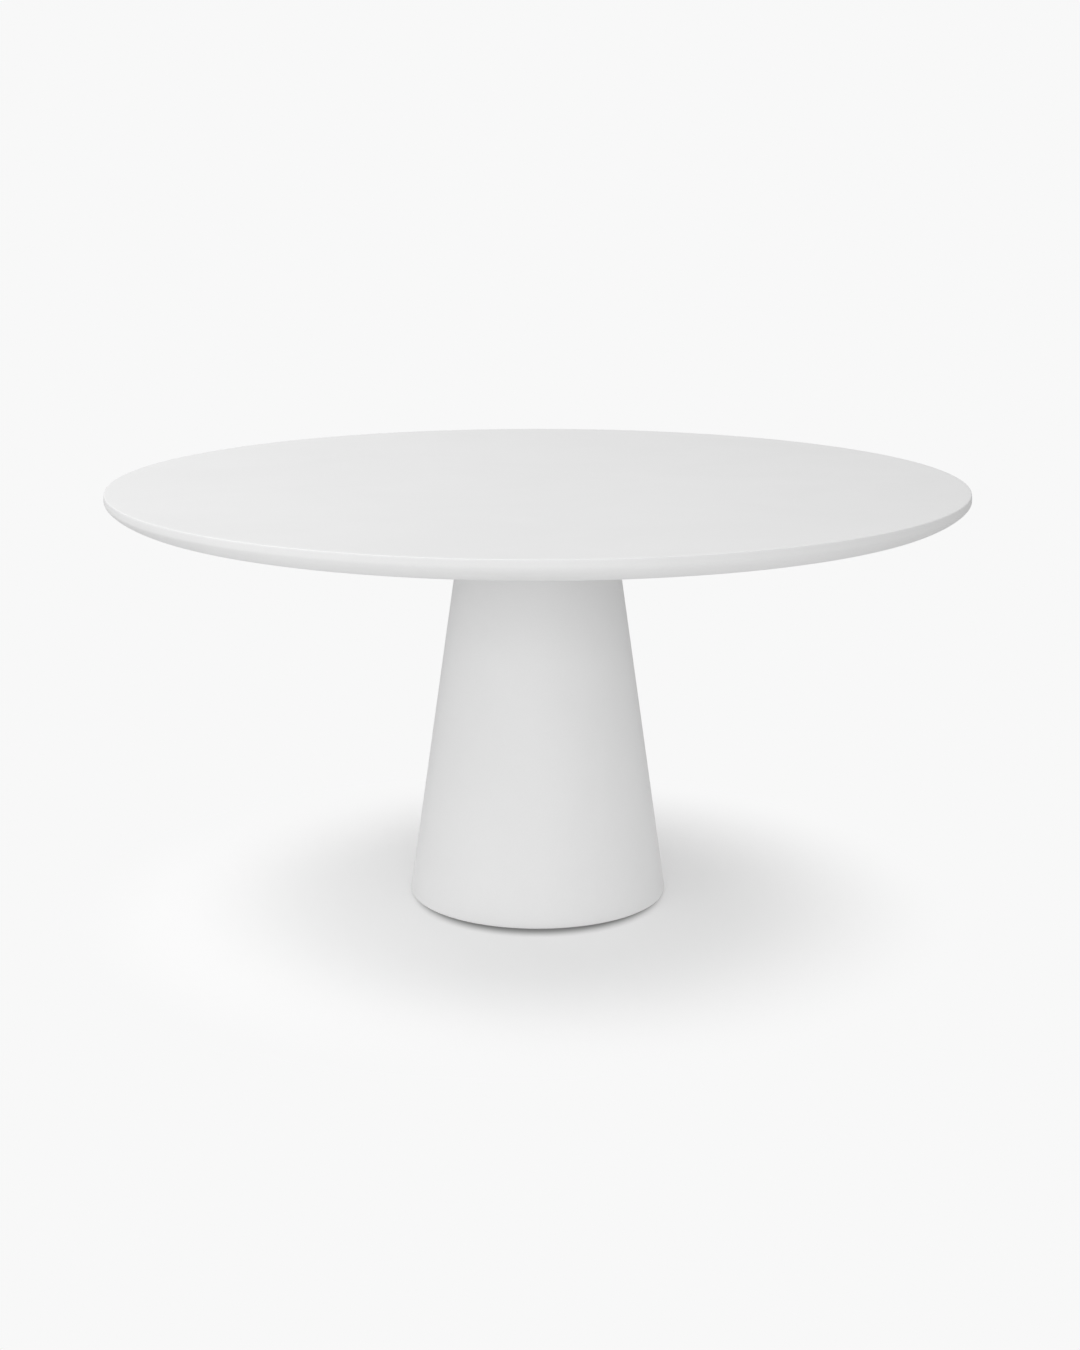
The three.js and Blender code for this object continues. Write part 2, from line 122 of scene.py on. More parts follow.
def heights(node: str) -> tuple[float, float]:
    """The heights between which a node of the frame lies."""
    low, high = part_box(node)
    return low.z, high.z


# ---------------------------------------------------------------- profiles


def bar(*steps: Point) -> list[Point]:
    """The profile of a solid bar: its steps from the bottom up, closed onto the axis at both ends."""
    return [(0, steps[0][1]), *steps, (0, steps[-1][1])]


def eased_flank(radius: float, low: float, high: float, edge: float) -> list[Point]:
    """The flank of a disc between two heights, with its edges taken off."""
    return [(radius - edge, low), (radius, low + edge), (radius, high - edge), (radius - edge, high)]


def bezier(p0: Point, p1: Point, p2: Point, p3: Point, steps: int) -> list[Point]:
    """Points along a cubic curve.

    Args:
        p0: Where it starts.
        p1: The handle of its start.
        p2: The handle of its end.
        p3: Where it ends.
        steps: How many steps it is drawn in.

    Returns:
        The points, its two ends among them.
    """
    curve = []
    for i in range(steps + 1):
        t = i / steps
        s = 1 - t
        weights = (s**3, 3 * s * s * t, 3 * s * t * t, t**3)
        radius, height = (sum(w * p[axis] for w, p in zip(weights, (p0, p1, p2, p3))) for axis in (0, 1))
        curve.append((radius, height))
    return curve


def blend(first: Point, second: Point, share: float) -> Point:
    """The point at a share of the way from one point to another."""
    return (first[0] + (second[0] - first[0]) * share, first[1] + (second[1] - first[1]) * share)


def quarter(centre: Point, radius: float, start: float, steps: int) -> list[Point]:
    """Points along a quarter of a circle, which starts at an angle in degrees and turns to the left."""
    turns = [math.radians(start + 90 * i / steps) for i in range(steps + 1)]
    return [(centre[0] + radius * math.cos(t), centre[1] + radius * math.sin(t)) for t in turns]


# ---------------------------------------------------------------- the bench: operators in short calls


class Fit(Enum):
    """How a second solid is worked into a first."""

    CUT = "DIFFERENCE"
    JOIN = "UNION"
    KEEP_COMMON = "INTERSECT"


def take(piece: Object) -> Object:
    """Leaves a piece the only one selected, and the active one.

    Args:
        piece: The piece to work on.

    Returns:
        The same piece.
    """
    bpy.ops.object.select_all(action="DESELECT")
    piece.select_set(True)
    bpy.context.view_layer.objects.active = piece
    return piece


@contextmanager
def editing(piece: Object) -> Iterator[None]:
    """Opens a piece in edit mode with all of it selected, and closes it again.

    Args:
        piece: The piece to open.

    Yields:
        Nothing: the operators of the block work on the open mesh.
    """
    take(piece)
    bpy.ops.object.mode_set(mode="EDIT")
    bpy.ops.mesh.select_mode(type="VERT")
    bpy.ops.mesh.select_all(action="SELECT")
    yield
    bpy.ops.object.mode_set(mode="OBJECT")


def named(piece: Object, name: str) -> Object:
    """Names a piece and its mesh, and applies its place to the mesh.

    Args:
        piece: The piece.
        name: Its name.

    Returns:
        The same piece, with its object at the origin.
    """
    piece.name = piece.data.name = name
    take(piece)
    bpy.ops.object.transform_apply(location=True, rotation=True, scale=True)
    return piece


def close_up() -> None:
    """Welds what meets in the open mesh, and turns its faces outwards."""
    bpy.ops.mesh.select_all(action="SELECT")
    bpy.ops.mesh.remove_doubles(threshold=WELD)
    bpy.ops.mesh.normals_make_consistent(inside=False)


def smooth(piece: Object, crease: float = 32.0) -> Object:
    """Shades a piece smooth, but for its sharp edges.

    Args:
        piece: The piece.
        crease: The angle in degrees from which an edge stays sharp.

    Returns:
        The same piece.
    """
    take(piece)
    bpy.ops.object.shade_smooth_by_angle(angle=math.radians(crease))
    return piece


def drawn(name: str, points: Sequence[Point]) -> Object:
    """A profile in the XZ plane, drawn by extruding one vertex from point to point.

    Args:
        name: The profile's name.
        points: Its points, in order.

    Returns:
        An object that holds the line.
    """
    bpy.ops.object.select_all(action="DESELECT")
    bpy.ops.mesh.primitive_plane_add(size=mm(1))
    piece = named(bpy.context.object, name)
    with editing(piece):
        bpy.ops.mesh.merge(type="CENTER")
        bpy.ops.transform.translate(value=(points[0][0], 0, points[0][1]))
        for (r0, z0), (r1, z1) in pairwise(points):
            bpy.ops.mesh.extrude_region_move(TRANSFORM_OT_translate={"value": (r1 - r0, 0, z1 - z0)})
    return piece


def turned(name: str, points: Sequence[Point], steps: int = 96) -> Object:
    """A piece turned about the Z axis, as on a lathe.

    Args:
        name: The piece's name.
        points: Its profile, which starts and ends on the axis or closes on itself.
        steps: How many steps go round.

    Returns:
        The closed piece, shaded smooth.
    """
    piece = drawn(name, points)
    with editing(piece):
        bpy.ops.mesh.spin(steps=steps, angle=math.tau, center=(0, 0, 0), axis=(0, 0, 1))
        close_up()
    return smooth(piece)


def tube(name: str, inner: Sequence[Point], outer: Sequence[Point], steps: int = 96) -> Object:
    """A turned piece with a hole through it, from two profiles that both run upwards."""
    return turned(name, [*outer, *reversed(inner), outer[0]], steps)


def peg(name: str, radius: float, low: float, high: float, steps: int = 32) -> Object:
    """A plain round peg on the axis between two heights."""
    return turned(name, bar((radius, low), (radius, high)), steps)


def hexagon(name: str, flats: float, low: float, high: float) -> Object:
    """A hexagon bar on the axis.

    Args:
        name: Its name.
        flats: Its width across the flats.
        low: Where it starts.
        high: Where it ends.

    Returns:
        The bar.
    """
    bpy.ops.object.select_all(action="DESELECT")
    place = (0, 0, (low + high) / 2)
    radius = flats / math.sqrt(3)
    bpy.ops.mesh.primitive_cylinder_add(vertices=6, radius=radius, depth=high - low, location=place)
    return named(bpy.context.object, name)


def combine(piece: Object, tool: Object, fit: Fit) -> Object:
    """Works a tool into a piece with a Boolean, and throws the tool away.

    Args:
        piece: The piece.
        tool: The solid to work into it.
        fit: What to do with it.

    Returns:
        The same piece.
    """
    modifier = piece.modifiers.new(fit.name.lower(), "BOOLEAN")
    modifier.operation = fit.value
    modifier.solver = "EXACT"
    modifier.object = tool
    take(piece)
    bpy.ops.object.modifier_apply(modifier=modifier.name)
    discarded(tool)
    return piece


def copied(piece: Object, name: str, spot: Spot) -> Object:
    """A copy of a piece, with its own mesh.

    Args:
        piece: The piece, made on the axis.
        name: The copy's name.
        spot: Where the copy goes.

    Returns:
        The copy.
    """
    take(piece)
    bpy.ops.object.duplicate(linked=False)
    copy = bpy.context.object
    copy.location = (spot.x, spot.y, 0)
    copy.rotation_euler = (0, 0, spot.angle)
    return named(copy, name)


def discarded(piece: Object) -> None:
    """Removes a tool, or a pattern that all its copies were made from.

    Args:
        piece: The tool or the pattern.
    """
    mesh = piece.data
    bpy.data.objects.remove(piece)
    bpy.data.meshes.remove(mesh)


def cut_at(piece: Object, tool: Object, spots: Sequence[Spot]) -> Object:
    """Cuts a tool out of a piece at each spot, and throws the tool away.

    Args:
        piece: The piece.
        tool: The cutter, made on the axis.
        spots: Where it cuts.

    Returns:
        The same piece.
    """
    for spot in spots:
        combine(piece, copied(tool, f"{tool.name}_cutter", spot), Fit.CUT)
    discarded(tool)
    return piece


def nut_blank(name: str, flats: float, low: float, high: float, rise: float, steps: int) -> Object:
    """A hexagon bar with its corners turned off at both ends, as on a nut.

    Args:
        name: Its name.
        flats: Its width across the flats.
        low: Where it starts.
        high: Where it ends.
        rise: How far the turned corners run along it.
        steps: How many steps the turning has.

    Returns:
        The blank, with no hole.
    """
    piece = hexagon(name, flats, low, high)
    face, corner = 0.96 * flats / 2, flats / math.sqrt(3) + mm(0.1)
    envelope = bar((face, low), (corner, low + rise), (corner, high - rise), (face, high))
    return combine(piece, turned(f"{name}_envelope", envelope, steps), Fit.KEEP_COMMON)


@dataclass(frozen=True)
class Thread:
    """A screw thread.

    Attributes:
        diameter: Over its crests.
        pitch: From crest to crest.
        depth: From crest to root.
        crest: The flat of the crest, as a share of the pitch.
    """

    diameter: float
    pitch: float
    depth: float
    crest: float = 0.125

    def rod(self, name: str, low: float, high: float, steps: int = 24) -> Object:
        """A solid rod with this thread, cut flat at both ends.

        Args:
            name: Its name.
            low: Where it starts.
            high: Where it ends.
            steps: How many steps one turn has.

        Returns:
            The rod.
        """
        crest, root = self.diameter / 2, self.diameter / 2 - self.depth
        start = low - 1.5 * self.pitch
        rise = (1 - 2 * self.crest) / 2
        fall = rise + self.crest
        shares = ((root, 0), (crest, rise), (crest, fall), (root, fall + rise), (root, 1))
        piece = drawn(name, [(radius, start + share * self.pitch) for radius, share in shares])
        modifier = piece.modifiers.new("thread", "SCREW")
        modifier.angle = math.tau
        modifier.screw_offset = self.pitch
        modifier.iterations = math.ceil((high - low) / self.pitch) + 3
        modifier.steps = modifier.render_steps = steps
        take(piece)
        bpy.ops.object.modifier_apply(modifier=modifier.name)
        with editing(piece):
            bpy.ops.mesh.remove_doubles(threshold=WELD)
            bpy.ops.mesh.bisect(plane_co=(0, 0, low), plane_no=(0, 0, 1), use_fill=True, clear_inner=True)
            bpy.ops.mesh.select_all(action="SELECT")
            bpy.ops.mesh.bisect(plane_co=(0, 0, high), plane_no=(0, 0, 1), use_fill=True, clear_outer=True)
            close_up()
        return smooth(piece)

    def trimmed(
        self, name: str, envelope: Sequence[Point], low: float, high: float, steps: int = 24
    ) -> Object:
        """A rod with this thread whose ends are turned down.

        Args:
            name: Its name.
            envelope: The profile that it is turned down to.
            low: Where the thread starts.
            high: Where it ends.
            steps: How many steps one turn has.

        Returns:
            The rod.
        """
        rod = self.rod(name, low, high, steps)
        return combine(rod, turned(f"{name}_envelope", envelope, 32), Fit.KEEP_COMMON)


COARSE_M8 = Thread(diameter=mm(8), pitch=mm(1.25), depth=mm(0.72))
COARSE_M10 = Thread(diameter=mm(10), pitch=mm(1.5), depth=mm(0.86))
COARSE_M12 = Thread(diameter=mm(12), pitch=mm(1.75), depth=mm(1.0))
WOOD_SCREW = Thread(diameter=mm(6), pitch=mm(2.6), depth=mm(1.1), crest=0.06)
SLEEVE_THREAD = Thread(diameter=mm(12), pitch=mm(2.5), depth=mm(0.9), crest=0.1)


# ---------------------------------------------------------------- finishes


class Nodes:
    """A node tree, with short calls that add and link its nodes."""

    def __init__(self, tree: NodeTree) -> None:
        """Takes the tree that the calls work on."""
        self.tree = tree

    def add(self, kind: str, inputs: dict[str | int, Any] | None = None, **settings: Any) -> Node:
        """Adds a node.

        Args:
            kind: Its type.
            inputs: A value or a socket for each named or numbered input.
            settings: Its own settings.

        Returns:
            The node.
        """
        node = self.tree.nodes.new(kind)
        for key, value in settings.items():
            setattr(node, key, value)
        for key, value in (inputs or {}).items():
            if isinstance(value, NodeSocket):
                self.tree.links.new(value, node.inputs[key])
            else:
                node.inputs[key].default_value = value
        return node

    def spread(
        self, value: NodeSocket, low: float, high: float, to_low: float, to_high: float, curve: str = "LINEAR"
    ) -> NodeSocket:
        """A value carried from one range to another, and held within it.

        Args:
            value: The value.
            low: Where the first range starts.
            high: Where it ends.
            to_low: Where the second range starts.
            to_high: Where it ends.
            curve: How the value runs between them.

        Returns:
            The value in the second range.
        """
        inputs = {"Value": value, "From Min": low, "From Max": high, "To Min": to_low, "To Max": to_high}
        return self.add("ShaderNodeMapRange", inputs, interpolation_type=curve).outputs["Result"]


class Recipe(Nodes):
    """The node tree of one finish."""

    def __init__(self, name: str, **values: Any) -> None:
        """Starts a finish from the standard surface shader.

        Args:
            name: The material's name.
            values: Values for the shader's own sockets, with underscores for spaces.
        """
        self.material = bpy.data.materials.new(name)
        self.material.use_nodes = True
        super().__init__(self.material.node_tree)
        self.shader = self.tree.nodes["Principled BSDF"]
        for socket, value in values.items():
            self.shader.inputs[socket.replace("_", " ")].default_value = value

    def place(self, scale: Sequence[float] = (1, 1, 1), turn: Sequence[float] = (0, 0, 0)) -> NodeSocket:
        """The place on the piece, in metres.

        Args:
            scale: How much it is stretched along each axis.
            turn: How far it is turned about each axis, in radians.

        Returns:
            The place.
        """
        here = self.add("ShaderNodeTexCoord").outputs["Object"]
        inputs = {"Vector": here, "Scale": scale, "Rotation": turn}
        return self.add("ShaderNodeMapping", inputs).outputs["Vector"]

    def noise(self, place: NodeSocket, scale: float, detail: float = 3.0, **inputs: float) -> NodeSocket:
        """Soft noise about 0.5.

        Args:
            place: Where it is read.
            scale: How many cells it has to the metre.
            detail: How many finer layers it has.
            inputs: Values for the node's other sockets, with underscores for spaces.

        Returns:
            The noise.
        """
        values = {"Vector": place, "Scale": scale, "Detail": detail}
        values.update({key.replace("_", " "): value for key, value in inputs.items()})
        return self.add("ShaderNodeTexNoise", values).outputs["Fac"]

    def maths(self, operation: str, first: Any, second: Any = 0.0) -> NodeSocket:
        """Two values worked together."""
        return self.add("ShaderNodeMath", {0: first, 1: second}, operation=operation).outputs["Value"]

    def mixed(
        self, amount: NodeSocket, first: NodeSocket | Colour, second: NodeSocket | Colour
    ) -> NodeSocket:
        """A colour between two.

        Args:
            amount: 0 for the first, and 1 for the second.
            first: A colour, or the socket that gives it.
            second: Another.

        Returns:
            The mixed colour.
        """
        node = self.add("ShaderNodeMix", {"Factor": amount}, data_type="RGBA")
        sides = [socket for socket in node.inputs if socket.type == "RGBA"]
        for socket, colour in zip(sides, (first, second)):
            if isinstance(colour, NodeSocket):
                self.tree.links.new(colour, socket)
            else:
                socket.default_value = (*colour, 1)
        return next(socket for socket in node.outputs if socket.type == "RGBA")

    def scaled(self, colour: NodeSocket | Colour, factor: NodeSocket) -> NodeSocket:
        """A colour made lighter or darker.

        Args:
            colour: The colour, or the socket that gives it.
            factor: A factor about 1.

        Returns:
            The colour that results.
        """
        base = colour if isinstance(colour, NodeSocket) else Vector(colour)
        node = self.add("ShaderNodeVectorMath", {0: base}, operation="SCALE")
        self.tree.links.new(factor, node.inputs["Scale"])
        return node.outputs["Vector"]

    def relief(
        self, height: NodeSocket, depth: float, strength: float = 1.0, under: NodeSocket | None = None
    ) -> NodeSocket:
        """Relief, on top of any coarser relief.

        Args:
            height: The pattern that stands up.
            depth: How deep it is, in metres.
            strength: How much of it shows.
            under: The coarser relief, if there is one.

        Returns:
            The normal.
        """
        inputs = {"Height": height, "Distance": depth, "Strength": strength}
        if under is not None:
            inputs["Normal"] = under
        return self.add("ShaderNodeBump", inputs).outputs["Normal"]

    def finish(self, **sockets: NodeSocket) -> Material:
        """Links the worked-out sockets to the shader.

        Args:
            sockets: A socket for each of the shader's inputs, with underscores for spaces.

        Returns:
            The finished material.
        """
        for name, socket in sockets.items():
            self.tree.links.new(socket, self.shader.inputs[name.replace("_", " ")])
        return self.material


@dataclass(frozen=True)
class MineralCoat:
    """A matt white mineral coat, trowelled on in thin passes, sanded and sealed.

    Attributes:
        name: The material's name.
        tone: Its colour.
        clouds: How much the passes vary in tone.
        grain: How much its fine grain varies in tone.
    """

    name: str = "mineral_coat"
    tone: Colour = (0.75, 0.75, 0.75)
    clouds: float = 0.010
    grain: float = 0.010

    def material(self) -> Material:
        """The finish, with its clouds, trowel strokes, grain and sealed sheen.

        Returns:
            The material.
        """
        recipe = Recipe(self.name, Specular_IOR_Level=0.35, Diffuse_Roughness=0.35)
        place = recipe.place()
        passes = recipe.noise(place, 3.4, 5.0, Roughness=0.55, Distortion=0.9)
        along = recipe.place((1, 3.2, 1), (0.2, 0.1, 0.6))
        strokes = recipe.noise(along, 9.0, 4.0, Roughness=0.6, Distortion=1.8)
        fine = recipe.noise(place, 420.0, 3.0, Roughness=0.7)
        dust = recipe.noise(place, 1500.0, 1.0)
        tone = recipe.spread(passes, 0.3, 0.7, 1 - self.clouds, 1 + self.clouds)
        for pattern, depth in ((strokes, self.clouds / 3), (fine, self.grain)):
            tone = recipe.maths("MULTIPLY", tone, recipe.spread(pattern, 0.3, 0.7, 1 - depth, 1 + depth))
        roughness = recipe.spread(strokes, 0.25, 0.75, 0.50, 0.64)
        hand = recipe.relief(recipe.noise(place, 11.0, 2.0), mm(0.5), 0.25)
        swept = recipe.relief(strokes, mm(0.25), 0.3, hand)
        sanded = recipe.relief(recipe.maths("ADD", fine, dust), mm(0.045), 0.35, swept)
        return recipe.finish(Base_Color=recipe.scaled(self.tone, tone), Roughness=roughness, Normal=sanded)


@dataclass(frozen=True)
class PowderCoat:
    """A fine-textured powder coat on steel.

    Attributes:
        name: The material's name.
        tone: Its colour.
    """

    name: str = "powder_coat"
    tone: Colour = (0.67, 0.67, 0.66)

    def material(self) -> Material:
        """The finish, with its orange-peel texture.

        Returns:
            The material.
        """
        recipe = Recipe(self.name, Specular_IOR_Level=0.45)
        place = recipe.place()
        peel = recipe.noise(place, 620.0, 2.0, Roughness=0.4)
        drift = recipe.noise(place, 6.0, 3.0)
        tone = recipe.spread(drift, 0.3, 0.7, 0.985, 1.015)
        roughness = recipe.spread(peel, 0.3, 0.7, 0.42, 0.56)
        relief = recipe.relief(peel, mm(0.06), 0.5)
        return recipe.finish(Base_Color=recipe.scaled(self.tone, tone), Roughness=roughness, Normal=relief)


@dataclass(frozen=True)
class PlatedSteel:
    """Bright zinc plate on a turned or rolled steel part.

    Attributes:
        name: The material's name.
        tone: Its colour.
        passivated: Its colour where the passivation is thick.
    """

    name: str = "zinc_plate"
    tone: Colour = (0.60, 0.62, 0.64)
    passivated: Colour = (0.70, 0.68, 0.60)

    def material(self) -> Material:
        """The finish, with its cloudy passivation and fine turning marks.

        Returns:
            The material.
        """
        recipe = Recipe(self.name, Metallic=1.0)
        cloud = recipe.noise(recipe.place(), 160.0, 3.0, Distortion=0.6)
        turning = recipe.noise(recipe.place((1, 1, 30)), 120.0, 2.0)
        colour = recipe.mixed(recipe.spread(cloud, 0.35, 0.7, 0, 1), self.tone, self.passivated)
        roughness = recipe.spread(cloud, 0.3, 0.7, 0.26, 0.42)
        relief = recipe.relief(turning, mm(0.02), 0.3)
        return recipe.finish(Base_Color=colour, Roughness=roughness, Normal=relief)


@dataclass(frozen=True)
class MillSteel:
    """Hot-rolled plate with its dark mill scale.

    Attributes:
        name: The material's name.
        tone: The scale's colour.
        worn: Its colour where the rolls have polished it.
        rusted: The colour of its rust.
    """

    name: str = "mill_scale"
    tone: Colour = (0.055, 0.060, 0.068)
    worn: Colour = (0.13, 0.135, 0.145)
    rusted: Colour = (0.17, 0.085, 0.045)

    def material(self) -> Material:
        """The finish, with its blotches, rolling streaks and a little rust.

        Returns:
            The material.
        """
        recipe = Recipe(self.name, Metallic=0.75)
        place = recipe.place()
        blotch = recipe.noise(place, 18.0, 6.0, Roughness=0.65, Distortion=0.8)
        streak = recipe.noise(recipe.place((1, 14, 1)), 12.0, 3.0)
        rust = recipe.spread(recipe.noise(place, 46.0, 5.0, Roughness=0.7), 0.60, 0.74, 0, 1)
        scale = recipe.mixed(recipe.spread(blotch, 0.35, 0.7, 0, 1), self.tone, self.worn)
        colour = recipe.mixed(rust, scale, self.rusted)
        roughness = recipe.spread(streak, 0.3, 0.7, 0.42, 0.62)
        relief = recipe.relief(blotch, mm(0.15), 0.4)
        return recipe.finish(Base_Color=colour, Roughness=roughness, Normal=relief)


@dataclass(frozen=True)
class Plywood:
    """Sanded birch plywood: face grain on its flats, and its plies at the edges.

    Attributes:
        name: The material's name.
        ply: The thickness of one ply.
        early_wood: The face grain's light colour.
        late_wood: The face grain's dark colour.
        long_ply: A ply's colour where the edge runs along its grain.
        end_ply: A ply's colour where the edge shows its end grain.
    """

    name: str = "birch_plywood"
    ply: float = mm(1.5)
    early_wood: Colour = (0.66, 0.47, 0.27)
    late_wood: Colour = (0.50, 0.32, 0.16)
    long_ply: Colour = (0.62, 0.44, 0.26)
    end_ply: Colour = (0.30, 0.17, 0.085)

    def material(self) -> Material:
        """The finish, with grain where the piece faces up or down and plies where it faces out.

        Returns:
            The material.
        """
        recipe = Recipe(self.name, Specular_IOR_Level=0.3)
        here = recipe.add("ShaderNodeTexCoord")
        facing = recipe.add("ShaderNodeSeparateXYZ", {"Vector": here.outputs["Normal"]}).outputs["Z"]
        height = recipe.add("ShaderNodeSeparateXYZ", {"Vector": here.outputs["Object"]}).outputs["Z"]
        flat = recipe.spread(recipe.maths("ABSOLUTE", facing), 0.6, 0.8, 0, 1)
        rings = recipe.noise(recipe.place((1, 16, 1)), 5.0, 5.0, Roughness=0.6, Distortion=1.4)
        fibre = recipe.noise(recipe.place((1, 30, 1)), 60.0, 3.0)
        grain = recipe.mixed(recipe.spread(rings, 0.35, 0.65, 0, 1), self.early_wood, self.late_wood)
        layer = recipe.maths("SINE", recipe.maths("MULTIPLY", height, math.pi / self.ply))
        plies = recipe.mixed(recipe.spread(layer, -0.25, 0.25, 0, 1), self.long_ply, self.end_ply)
        colour = recipe.mixed(flat, plies, grain)
        shade = recipe.spread(fibre, 0.3, 0.7, 0.93, 1.05)
        roughness = recipe.spread(fibre, 0.3, 0.7, 0.58, 0.72)
        relief = recipe.relief(fibre, mm(0.12), 0.4)
        return recipe.finish(Base_Color=recipe.scaled(colour, shade), Roughness=roughness, Normal=relief)


@dataclass(frozen=True)
class MouldedNylon:
    """Black moulded nylon.

    Attributes:
        name: The material's name.
        tone: Its colour.
    """

    name: str = "black_nylon"
    tone: Colour = (0.022, 0.022, 0.024)

    def material(self) -> Material:
        """The finish, with the fine spark texture of its mould.

        Returns:
            The material.
        """
        recipe = Recipe(self.name, Specular_IOR_Level=0.5)
        spark = recipe.noise(recipe.place(), 1400.0, 2.0)
        tone = recipe.spread(spark, 0.3, 0.7, 0.85, 1.15)
        roughness = recipe.spread(spark, 0.3, 0.7, 0.42, 0.58)
        relief = recipe.relief(spark, mm(0.03), 0.5)
        return recipe.finish(Base_Color=recipe.scaled(self.tone, tone), Roughness=roughness, Normal=relief)


@dataclass(frozen=True)
class Repeat:
    """A piece that is made once, on the axis, and set at each spot of a ring.

    Attributes:
        pattern: The piece.
        name: What its copies are called, before their number.
        slot: The record's material slot.
        node: What the nodes that they stand for are called, before the number.
        body: The body that they move with, in which {} stands for the number.
    """

    pattern: Object
    name: str
    slot: str
    node: str
    body: str = TABLE


class Finishes:
    """The table's materials, each made once, with the record's slot that each stands for."""

    def __init__(self) -> None:
        """Makes the materials."""
        coat = MineralCoat().material()
        self.by_slot: dict[str, Material] = {
            "coated_board": coat,
            "coated_concrete": coat,
            "powder_coated_steel": PowderCoat().material(),
            "plywood": Plywood().material(),
            "zinc_steel": PlatedSteel().material(),
            "black_steel": MillSteel().material(),
            "nylon": MouldedNylon().material(),
        }

    def dress(self, piece: Object, slot: str, node: str, body: str = TABLE) -> None:
        """Gives a piece its finish, and sets it in place of its node.

        Args:
            piece: The finished piece.
            slot: The record's material slot.
            node: The node that it stands for.
            body: The body that it moves with.
        """
        piece.data.materials.clear()
        piece.data.materials.append(self.by_slot[slot])
        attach(piece, body)
        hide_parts(node)
        LOG.info("%s: %s, %d faces", piece.name, slot, len(piece.data.polygons))

    def set_ring(self, spots: Sequence[Spot], *repeats: Repeat) -> None:
        """Sets a copy of each pattern at each spot, and discards the patterns.

        Args:
            spots: Where the copies go.
            repeats: The patterns, in the order in which a spot's copies are made.
        """
        for spot in spots:
            for repeat in repeats:
                piece = copied(repeat.pattern, f"{repeat.name}_{spot.number}", spot)
                body = repeat.body.format(spot.number)
                self.dress(piece, repeat.slot, f"{repeat.node}_{spot.number}", body)
        for repeat in repeats:
            discarded(repeat.pattern)


# ---------------------------------------------------------------- the top


